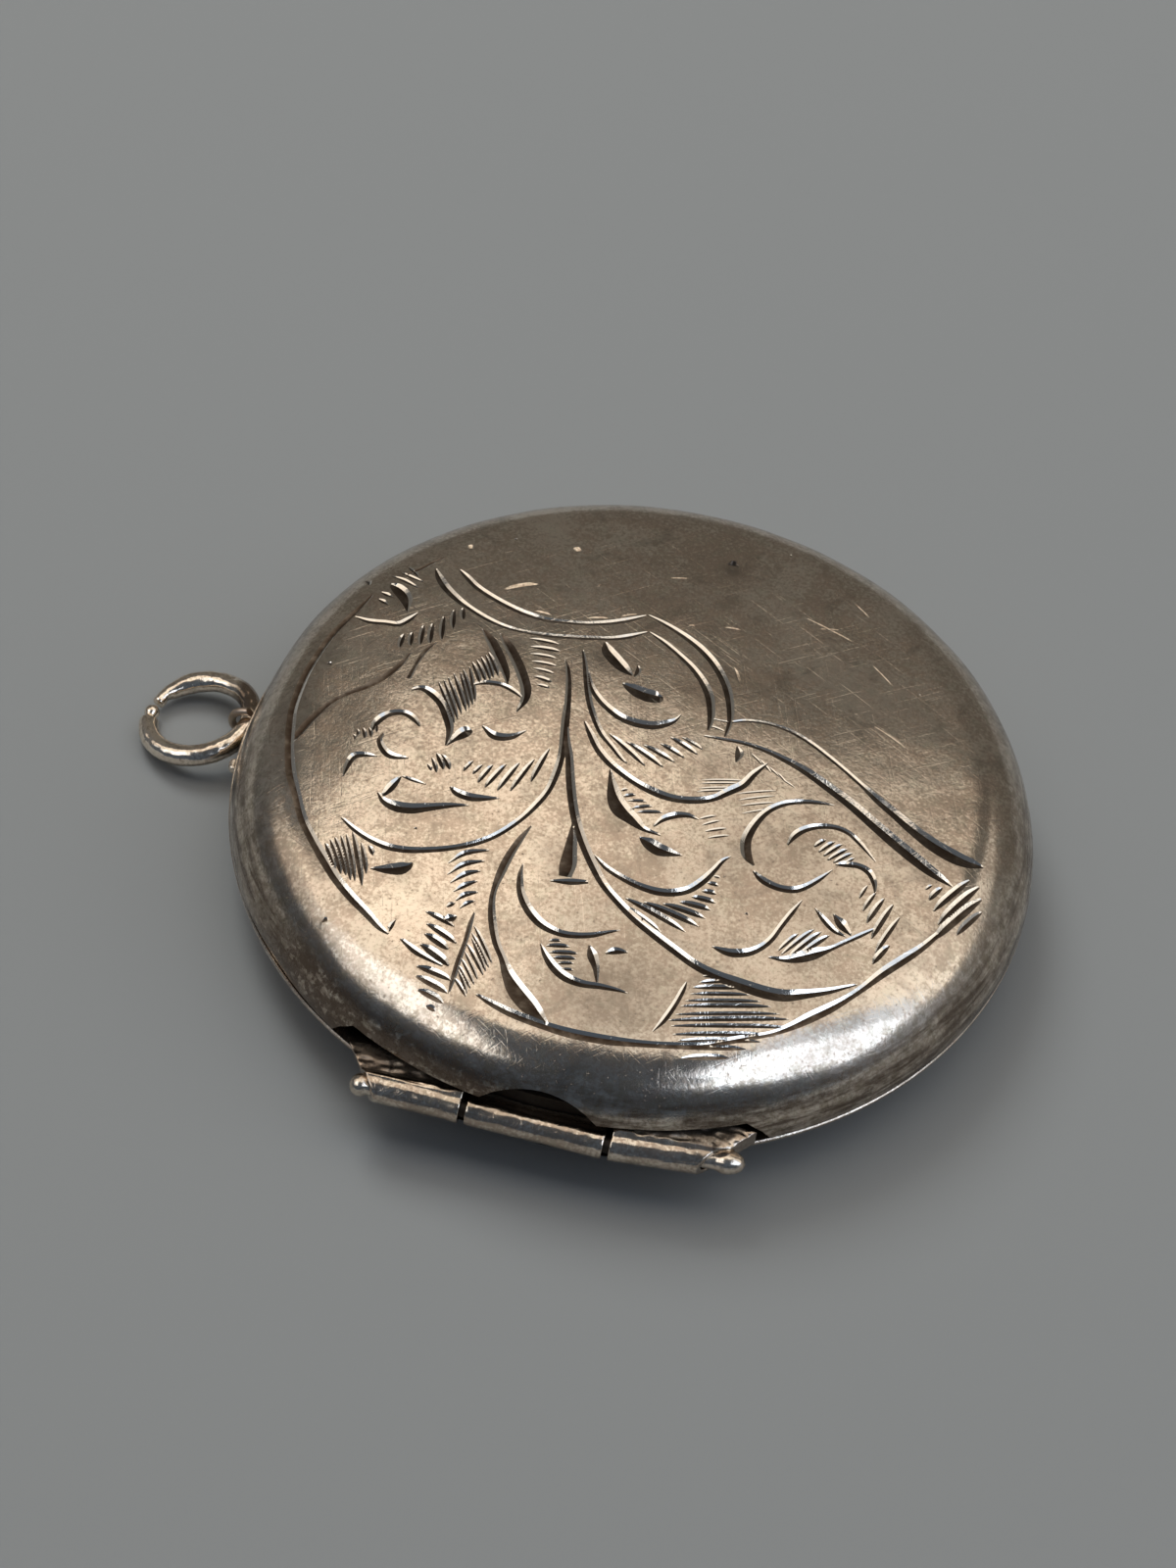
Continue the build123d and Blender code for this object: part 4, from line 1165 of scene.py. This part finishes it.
class Surface(Nodes):
    """A material with one shader, whose colour and roughness are built up step by step."""

    def __init__(self, name, colour, roughness, metallic=0.0):
        self.material = bpy.data.materials.new(name)
        self.material.use_nodes = True
        super().__init__(self.material.node_tree)
        self.tree.nodes.clear()
        self.shader = self.add("ShaderNodeBsdfPrincipled")
        output = self.add("ShaderNodeOutputMaterial")
        self.link(self.shader.outputs[0], output.inputs[0])
        self.place = self.add("ShaderNodeTexCoord").outputs["Object"]
        self.shader.inputs["Metallic"].default_value = metallic
        self.colour = colour
        self.roughness = roughness

    def finish(self, normal=None):
        """Links the colour, roughness and normal to the shader and returns the material."""
        self.feed(self.shader.inputs["Base Color"], self.colour)
        self.feed(self.shader.inputs["Roughness"], self.roughness)
        if normal is not None:
            self.link(normal, self.shader.inputs["Normal"])
        return self.material

    def paint(self, where, strength, colour):
        """Covers the colour so far with another one, where a value says and this strongly."""
        self.colour = self.mix(self.math("MULTIPLY", where, strength), self.colour, colour)

    def roughen(self, where, amount):
        """Adds to the roughness, where a value says."""
        more = self.math("MULTIPLY", where, amount)
        self.roughness = self.math("ADD", more, self.roughness)

    def attribute(self, name):
        node = self.add("ShaderNodeAttribute")
        node.attribute_name = name
        return node.outputs["Fac"]

    def noise(self, size, detail=4.0, roughness=0.55, distortion=0.0, place=None,
              stretch=(1, 1, 1)):
        """Noise from 0 to 1 with features `size` millimetres across."""
        node = self.add("ShaderNodeTexNoise")
        node.inputs["Scale"].default_value = 1.0
        node.inputs["Detail"].default_value = detail
        node.inputs["Roughness"].default_value = roughness
        node.inputs["Distortion"].default_value = distortion
        mapping = self.add("ShaderNodeMapping")
        mapping.inputs["Scale"].default_value = [s / (size * MM) for s in stretch]
        self.link(place or self.place, mapping.inputs["Vector"])
        self.link(mapping.outputs[0], node.inputs["Vector"])
        return node.outputs["Fac"]

    def bump(self, height, strength, distance, under=None):
        """A bump of `distance` millimetres."""
        node = self.add("ShaderNodeBump")
        node.inputs["Strength"].default_value = strength
        node.inputs["Distance"].default_value = distance * MM
        self.link(height, node.inputs["Height"])
        if under is not None:
            self.link(under, node.inputs["Normal"])
        return node.outputs[0]

    def radius(self):
        """Distance from the middle of the locket."""
        x, y, _ = self.separate(self.place)
        squares = self.math("ADD", self.math("MULTIPLY", x, x), self.math("MULTIPLY", y, y))
        return self.math("SQRT", squares)

    def along_rim(self, flatness):
        """Places on the rim, unrolled: the way round it, and the height times `flatness`."""
        x, y, z = self.separate(self.place)
        node = self.add("ShaderNodeCombineXYZ")
        self.link(self.math("MULTIPLY", self.math("ARCTAN2", y, x), RIM_RADIUS * MM),
                  node.inputs["X"])
        self.link(self.math("MULTIPLY", z, flatness), node.inputs["Z"])
        return node.outputs[0]

    def scratches(self, count, seed):
        """Fine scratches in several directions, as a value that is high along each."""
        total = None
        for i in range(count):
            turn = self.add("ShaderNodeMapping")
            angle = math.radians(180 * ((i * 0.618 + seed) % 1))
            turn.inputs["Rotation"].default_value = (0.0, 0.0, angle)
            self.link(self.place, turn.inputs["Vector"])
            streak = self.noise(0.11, 2.0, 0.5, 0.15, turn.outputs[0], (0.035, 1, 0.3))
            line = self.ramp(streak, 0.62, 0.72)
            total = line if total is None else self.math("MAXIMUM", total, line)
        return total


SILVER = (0.82, 0.72, 0.595)
TARNISH = (0.46, 0.37, 0.285)
STAIN_AND_SHADE = (0.27, 0.225, 0.18)
DEEP_TARNISH_AND_SHADE = (0.04, 0.024, 0.015)
BURNISH_AND_HIGHLIGHT = (0.96, 0.9, 0.81)
ROSY = (0.68, 0.50, 0.40)
GREENISH = (0.58, 0.58, 0.44)
FILM = (0.36, 0.3, 0.21)
RIM_DIRT = (0.10, 0.065, 0.045)
BAIL_BROWN = (0.2, 0.14, 0.1)
GAP_SHADE = (0.022, 0.015, 0.011)

BAIL_BROWN_FROM = -15.9     # the bail ring is brown from here to the right
BEZEL_WALL = 13.55          # and the bezels get black painted shade from this radius outwards
EAR_SLANT = 0.825           # |x| less EAR_SLANT times y is EAR_EDGE along the hinge's slanting ends
EAR_EDGE = 18.18


def old_silver(name, tarnish, wear, rough, tone=1.0):
    """Old silver, bright where it is rubbed and brown where it is not, still to be polished()."""
    bright = tuple(min(1.0, tone * value) for value in SILVER)
    n = Surface(name, bright, rough, metallic=1.0)
    blotches = n.noise(3.4, 5.0, 0.6, 0.6)
    n.mottle = n.noise(0.42, 4.0, 0.65, 0.3)
    n.specks = n.noise(0.13, 3.0, 0.6)
    n.lines = n.scratches(3, 0.17)
    darkening = n.math("ADD", n.math("MULTIPLY", blotches, 0.65), n.math("MULTIPLY", n.mottle, 0.35))
    grain = n.math("MULTIPLY", n.math("SUBTRACT", n.specks, 0.5), 0.8)
    darkening = n.ramp(n.math("ADD", darkening, grain), 0.5 - 0.24 * tarnish, 0.72 - 0.2 * tarnish)
    darkening = n.math("MULTIPLY", darkening, min(1.0, 0.35 + tarnish))
    cleared = n.math("MULTIPLY", n.lines, 0.15 * wear)
    darkening = n.math("MAXIMUM", n.math("SUBTRACT", darkening, cleared), 0.0)
    n.colour = n.mix(darkening, bright, TARNISH)
    n.paint(n.ramp(n.noise(0.8, 3.0, 0.6), 0.35, 0.65), 0.25, ROSY)
    n.paint(n.ramp(n.noise(0.6, 4.0, 0.7, 0.5), 0.5, 0.7), 0.25, GREENISH)
    n.paint(n.ramp(n.noise(1.5, 5.0, 0.65, 1.0), 0.5, 0.68), 0.4, STAIN_AND_SHADE)
    n.pits = n.ramp(n.specks, 0.68, 0.76)
    n.paint(n.pits, 0.45, DEEP_TARNISH_AND_SHADE)
    n.roughen(darkening, 0.07)
    n.roughen(n.ramp(n.mottle, 0.3, 0.7), 0.04)
    return n


def polished(n):
    """Finishes a silver surface with its fine scratches, pits and unevenness."""
    height = n.math("SUBTRACT", n.math("MULTIPLY", n.mottle, 0.5), n.math("MULTIPLY", n.lines, 0.12))
    height = n.math("SUBTRACT", height, n.math("MULTIPLY", n.pits, 0.6))
    normal = n.bump(height, 0.6, 0.018)
    normal = n.bump(n.specks, 0.5, 0.006, normal)
    return n.finish(n.bump(n.noise(1.6, 3.0), 0.35, 0.02, normal))


def paint_gap_shade(n, where):
    """Paints black shade on what lies in a gap where no light and no polish reaches."""
    n.paint(where, 0.95, GAP_SHADE)
    n.roughen(where, 0.4)


def dirty_rim(n):
    """Streaks low on the shoulder, crust by the hinge and a thin film between."""
    x, y, z = n.separate(n.place)
    streaks = n.ramp(n.noise(2.6, 6.0, 0.7, 0.4, n.along_rim(7.0)), 0.36, 0.62)
    low = n.ramp(z, (SEAM_Z + 3.1) * MM, (SEAM_Z + 1.3) * MM)
    dirt = n.math("MULTIPLY", streaks, low)
    outside = n.ramp(n.radius(), 13.2 * MM, 14.2 * MM)
    by_hinge = n.ramp(n.math("ADD", y, n.math("MULTIPLY", x, 0.45)), -13.0 * MM, -15.6 * MM)
    by_hinge = n.math("MULTIPLY", by_hinge, n.ramp(z, (SEAM_Z + 2.4) * MM, (SEAM_Z + 1.7) * MM))
    crust = n.ramp(n.noise(0.5, 5.0, 0.7, 0.5), 0.36, 0.5)
    dirt = n.math("MAXIMUM", dirt, n.math("MULTIPLY", by_hinge, crust))
    n.paint(n.math("MULTIPLY", n.ramp(n.mottle, 0.46, 0.6), outside), 0.5, FILM)
    dirt = n.math("MULTIPLY", dirt, outside)
    n.paint(dirt, 0.85, RIM_DIRT)
    n.roughen(dirt, 0.12)


def front_silver():
    """The front cover: a dirty rim, cuts with black tarnish and painted shade on their facets and
    burnish with a painted highlight on their walls, and soft painted shade beside them.
    """
    n = old_silver("front_silver", tarnish=0.5, wear=0.6, rough=0.11)
    dirty_rim(n)
    # Tarnish in the cuts, with painted shade on the facets that face away from the light and a
    # painted highlight on the walls that face it
    painted_light_and_tarnish = n.math("MULTIPLY", n.attribute("cut_tarnish_and_painted_light"), n.ramp(n.noise(0.5, 3.0), 0.2, 0.6, 0.8, 1.0))
    uneven = n.ramp(n.mottle, 0.3, 0.65, 0.6, 1.0)
    # Darker patches of the plain metal, and soft painted shade beside the wide cuts
    n.paint(n.attribute("darkening"), uneven, STAIN_AND_SHADE)
    # The value is below 0 on the walls, where it paints burnish with a painted highlight, and a mix
    # takes anything below 0 as 0.
    n.paint(painted_light_and_tarnish, -2.2, BURNISH_AND_HIGHLIGHT)
    n.colour = n.mix(painted_light_and_tarnish, n.colour, DEEP_TARNISH_AND_SHADE)
    n.roughen(painted_light_and_tarnish, 0.22)
    return polished(n)


def bezel_silver():
    """Inside metal, with black painted shade in the gap outside the bezels."""
    n = old_silver("inner_silver", tarnish=0.35, wear=0.3, rough=0.17)
    paint_gap_shade(n, n.ramp(n.radius(), (BEZEL_WALL - 0.06) * MM, BEZEL_WALL * MM))
    return polished(n)


def knuckle_silver(name, tarnish, rough, shade_behind):
    """A hinge tube with black painted shade on its web beyond a line, but not on the ridge of its
    ear.
    """
    n = old_silver(name, tarnish=tarnish, wear=0.7, rough=rough)
    x, y, _ = n.separate(n.place)
    # Painted shade on the web behind the tube
    web = n.ramp(y, shade_behind * MM, (shade_behind + 0.3) * MM)
    web = n.math("MULTIPLY", web, n.ramp(n.mottle, 0.32, 0.56, 1.0, 0.5))
    slant = n.math("ADD", n.math("ABSOLUTE", x), n.math("MULTIPLY", y, -EAR_SLANT))
    ridge = n.ramp(slant, (EAR_EDGE - 0.4) * MM, (EAR_EDGE - 0.2) * MM, 1.0, 0.1)
    paint_gap_shade(n, n.math("MULTIPLY", web, ridge))
    return polished(n)


def pin_silver():
    """The pin, with black painted shade where it is in the gaps between the tubes."""
    n = old_silver("pin_silver", tarnish=0.4, wear=0.7, rough=0.16)
    x, _, _ = n.separate(n.place)
    paint_gap_shade(n, n.ramp(n.math("ABSOLUTE", x), (OUTER_KNUCKLE_END + 0.15) * MM, OUTER_KNUCKLE_END * MM))
    return polished(n)


def ring_silver():
    """The bail ring, bright but for the brown stretch by its eyelet."""
    n = old_silver("ring_silver", tarnish=0.35, wear=0.7, rough=0.1, tone=1.2)
    x, y, _ = n.separate(n.place)
    brown = n.ramp(x, (BAIL_BROWN_FROM - 0.5) * MM, BAIL_BROWN_FROM * MM)
    brown = n.math("MULTIPLY", brown, n.ramp(y, BAIL_Y * MM, (BAIL_Y + 0.6) * MM))
    n.paint(brown, 0.85, BAIL_BROWN)
    return polished(n)


def pane():
    """Old clear celluloid, faintly yellow."""
    n = Surface("celluloid", (0.97, 0.95, 0.88), None)
    n.roughness = n.ramp(n.noise(2.5, 4.0), 0.3, 0.7, 0.04, 0.12)
    n.shader.inputs["Transmission Weight"].default_value = 1.0
    n.shader.inputs["IOR"].default_value = 1.49
    return n.finish(n.bump(n.noise(4.0, 2.0), 0.2, 0.02))


def card():
    """Aged blank card with a fine fibre grain and brown spots."""
    n = Surface("aged_card", None, 0.85)
    n.colour = n.mix(n.ramp(n.noise(6.0, 4.0), 0.35, 0.7), (0.74, 0.66, 0.5), (0.6, 0.5, 0.34))
    n.paint(n.ramp(n.noise(1.1, 5.0, 0.7), 0.66, 0.74), 0.6, (0.4, 0.27, 0.13))
    fibre = n.noise(0.16, 3.0, 0.6, 0.5, stretch=(0.35, 1, 1))
    return n.finish(n.bump(fibre, 0.5, 0.02))


def solder():
    """Dull yellowish solder."""
    n = Surface("solder", None, 0.42, metallic=1.0)
    n.colour = n.mix(n.ramp(n.noise(0.6, 4.0), 0.35, 0.65), (0.5, 0.42, 0.27), (0.2, 0.16, 0.1))
    return n.finish(n.bump(n.noise(0.25, 3.0), 0.6, 0.03))


# ---------------------------------------------------------------- pieces

def dress(node, material):
    """Gives a CAD node that keeps its shape a finished material."""
    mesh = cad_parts[node].data
    mesh.materials.clear()
    mesh.materials.append(material)


def make_pieces():
    """Every visible piece, each with its material."""
    engraved_cover(front_silver())
    back_shell(polished(old_silver("back_silver", tarnish=0.6, wear=0.6, rough=0.17)))
    inside = bezel_silver()
    frames = polished(old_silver("frame_silver", tarnish=0.25, wear=0.3, rough=0.16))
    clear = pane()
    blank = card()
    for side in ("front", "back"):
        dress(f"{side}_bezel", inside)
        dress(f"{side}_photo_frame", frames)
        dress(f"{side}_window", clear)
        dress(f"{side}_photo_card", blank)
    outer = knuckle_silver("hinge_silver", tarnish=0.8, rough=0.11, shade_behind=-14.5)
    middle = knuckle_silver("middle_hinge_silver", tarnish=0.7, rough=0.1, shade_behind=-14.35)
    for side, body, material, shape in (("left", "back", outer, left_shape),
                                        ("right", "back", outer, right_shape),
                                        ("middle", "front", middle, nicked)):
        worn_copy(f"hinge_knuckle_{side}", f"worn_{side}_knuckle", body, material, shape)
    hammered_pin(pin_silver())
    worn_ring(ring_silver())
    # The eyelet: tarnished silver, with tone 0.45 as painted shade where it sits under the ring and
    # the rim
    dress("bail_eyelet", polished(
        old_silver("eyelet_silver_painted_shade", tarnish=0.9, wear=0.3, rough=0.3, tone=0.45)
    ))
    drop = polished(old_silver("drop_silver", tarnish=0.1, wear=0.7, rough=0.2))
    solder_foot(solder(), drop)


# ---------------------------------------------------------------- floor, light and camera

FLOOR_HALF = 900
FLOOR_COLOUR = (0.345, 0.358, 0.362)
FLOOR_ROUGHNESS = 0.75


def make_floor():
    """A wide pale table top under the locket."""
    half = FLOOR_HALF * MM
    mesh = bpy.data.meshes.new("floor")
    corners = [(-half, -half, 0), (half, -half, 0), (half, half, 0), (-half, half, 0)]
    mesh.from_pydata(corners, [], [(0, 1, 2, 3)])
    floor = bpy.data.objects.new("floor", mesh)
    bpy.context.scene.collection.objects.link(floor)
    mesh.materials.append(Surface("floor", FLOOR_COLOUR, FLOOR_ROUGHNESS).finish())


PANEL_HEIGHT = 500
ROOM_LIGHT = (0.085, 0.14)   # strength of the dim room on the near and on the far side
NEAR_ROOM = (0.78, 1.0, 1.35)   # their colours
FAR_ROOM = (1.03, 0.99, 0.91)
ROOM_BLEND = 0.7             # they blend between these shares of the way to either side
SIDE_LIGHT = 0.2             # added to the strength low on the right, over these shares of the way
SIDE_BLEND = (0.75, 0.95)
NEAR_SIDE = -190             # panels that reach nearer than this give metal something to reflect,
                             # and light nothing that is not shiny
TABLE_LIGHT_FROM = (-0.5, 0.62, 0.85)
TABLE_LIGHT_DISTANCE = 600
TABLE_LIGHT_SIZE = 260
TABLE_LIGHT_POWER = 1.1
TABLE_LIGHT_COLOUR = (0.97, 1.0, 1.0)

COOL = (0.82, 0.96, 1.18)
NEUTRAL = (0.98, 1.0, 1.02)
WARM = (1.0, 0.94, 0.85)
AMBER = (1.04, 0.93, 0.8)

# Level panels round a gap over the near side: left, right, near and far edge, brightness, colour
PANELS = [
    ("right_near_panel", 220, 1500, -330, -60, 2.2, COOL),
    ("right_low_panel", 300, 1500, -560, -330, 2.2, COOL),
    ("right_panel", 190, 1500, -60, 70, 0.85, COOL),
    ("right_far_panel", 190, 1500, 70, 330, 1.05, WARM),
    ("right_back_panel", 420, 1500, 330, 480, 0.8, WARM),
    ("far_right_panel", 420, 1500, 480, 680, 0.45, WARM),
    ("left_near_panel", -650, -190, -560, -60, 1.6, NEUTRAL),
    ("left_far_panel", -560, -60, -60, 190, 1.0, AMBER),
    ("far_left_panel", -1000, -650, -560, -190, 0.9, NEUTRAL),
    ("far_left_back_panel", -1100, -560, -190, 250, 0.5, AMBER),
    ("middle_panel", -60, 190, -60, 190, 0.95, WARM),
    ("back_left_panel", -220, -85, 190, 320, 1.2, AMBER),
    ("back_middle_panel", -85, 80, 190, 320, 0.68, AMBER),
    ("back_right_panel", 80, 190, 190, 320, 1.0, WARM),
    ("far_middle_panel", -200, -30, 320, 470, 1.0, AMBER),
    ("far_panel", -30, 190, 320, 470, 0.68, AMBER),
]


def light_panel(name, left, right, near, far, brightness, colour):
    """A level panel of light, given by its edges in millimetres."""
    width, depth = (right - left) * MM, (far - near) * MM
    light = bpy.data.lights.new(name, "AREA")
    light.shape = "RECTANGLE"
    light.size = width
    light.size_y = depth
    light.energy = brightness * math.pi * width * depth
    light.color = colour
    lamp = bpy.data.objects.new(name, light)
    lamp.location = ((left + right) / 2 * MM, (near + far) / 2 * MM, PANEL_HEIGHT * MM)
    lamp.visible_diffuse = near >= NEAR_SIDE
    bpy.context.scene.collection.objects.link(lamp)


def table_light():
    """A soft light from the far left, not seen in reflections: shade falls to the near right."""
    light = bpy.data.lights.new("table_light", "AREA")
    light.shape = "DISK"
    light.size = TABLE_LIGHT_SIZE * MM
    light.energy = TABLE_LIGHT_POWER
    light.color = TABLE_LIGHT_COLOUR
    lamp = bpy.data.objects.new("table_light", light)
    direction = Vector(TABLE_LIGHT_FROM).normalized()
    lamp.location = direction * TABLE_LIGHT_DISTANCE * MM
    lamp.rotation_euler = direction.to_track_quat("Z", "Y").to_euler()
    lamp.visible_glossy = False
    bpy.context.scene.collection.objects.link(lamp)


def world_light():
    """A dim room, darker on the near side and lighter at the right."""
    world = bpy.data.worlds.new("studio")
    bpy.context.scene.world = world
    world.use_nodes = True
    n = Nodes(world.node_tree)
    background = n.tree.nodes["Background"]
    across, inwards, _ = n.separate(n.add("ShaderNodeTexCoord").outputs["Generated"])
    level = n.ramp(inwards, -ROOM_BLEND, ROOM_BLEND, *ROOM_LIGHT)
    side = n.ramp(across, *SIDE_BLEND, 0.0, SIDE_LIGHT)
    n.link(n.math("ADD", level, side), background.inputs["Strength"])
    share = n.ramp(inwards, -ROOM_BLEND, ROOM_BLEND, kind="LINEAR")
    n.link(n.mix(share, NEAR_ROOM, FAR_ROOM), background.inputs["Color"])


VIEW_AZIMUTH = 7.0
VIEW_ELEVATION = 49.71
VIEW_DISTANCE = 102.62
VIEW_ROLL = 6.83
LOOK_RIGHT = -0.0177
LOOK_UP = 0.0075
LENS = 63.0
SENSOR_HEIGHT = 36.0


def make_camera():
    """The camera, turned about the line along which it looks."""
    a, e = math.radians(VIEW_AZIMUTH), math.radians(VIEW_ELEVATION)
    outwards = Vector((math.sin(a) * math.cos(e), -math.cos(a) * math.cos(e), math.sin(e)))
    place = Vector((0, 0, SEAM_Z)) + VIEW_DISTANCE * outwards
    right = (-outwards).cross(Vector((0, 0, 1))).normalized()
    up = right.cross(-outwards)
    ahead = (-outwards + LOOK_RIGHT * right + LOOK_UP * up).normalized()
    right = ahead.cross(Vector((0, 0, 1))).normalized()
    up = right.cross(ahead)
    c, s = math.cos(math.radians(VIEW_ROLL)), math.sin(math.radians(VIEW_ROLL))
    right, up = c * right + s * up, c * up - s * right
    camera = bpy.data.cameras.new("camera")
    camera.sensor_fit = "VERTICAL"
    camera.sensor_height = SENSOR_HEIGHT
    camera.lens = LENS
    camera.clip_start = 0.001
    camera.clip_end = 10
    holder = bpy.data.objects.new("camera", camera)
    bpy.context.scene.collection.objects.link(holder)
    turn = Matrix((right, up, -ahead)).transposed().to_4x4()
    holder.matrix_world = Matrix.Translation(place * MM) @ turn
    bpy.context.scene.camera = holder


make_pieces()
make_floor()
for panel in PANELS:
    light_panel(*panel)
table_light()
world_light()
make_camera()
bpy.context.scene.view_settings.view_transform = "Standard"
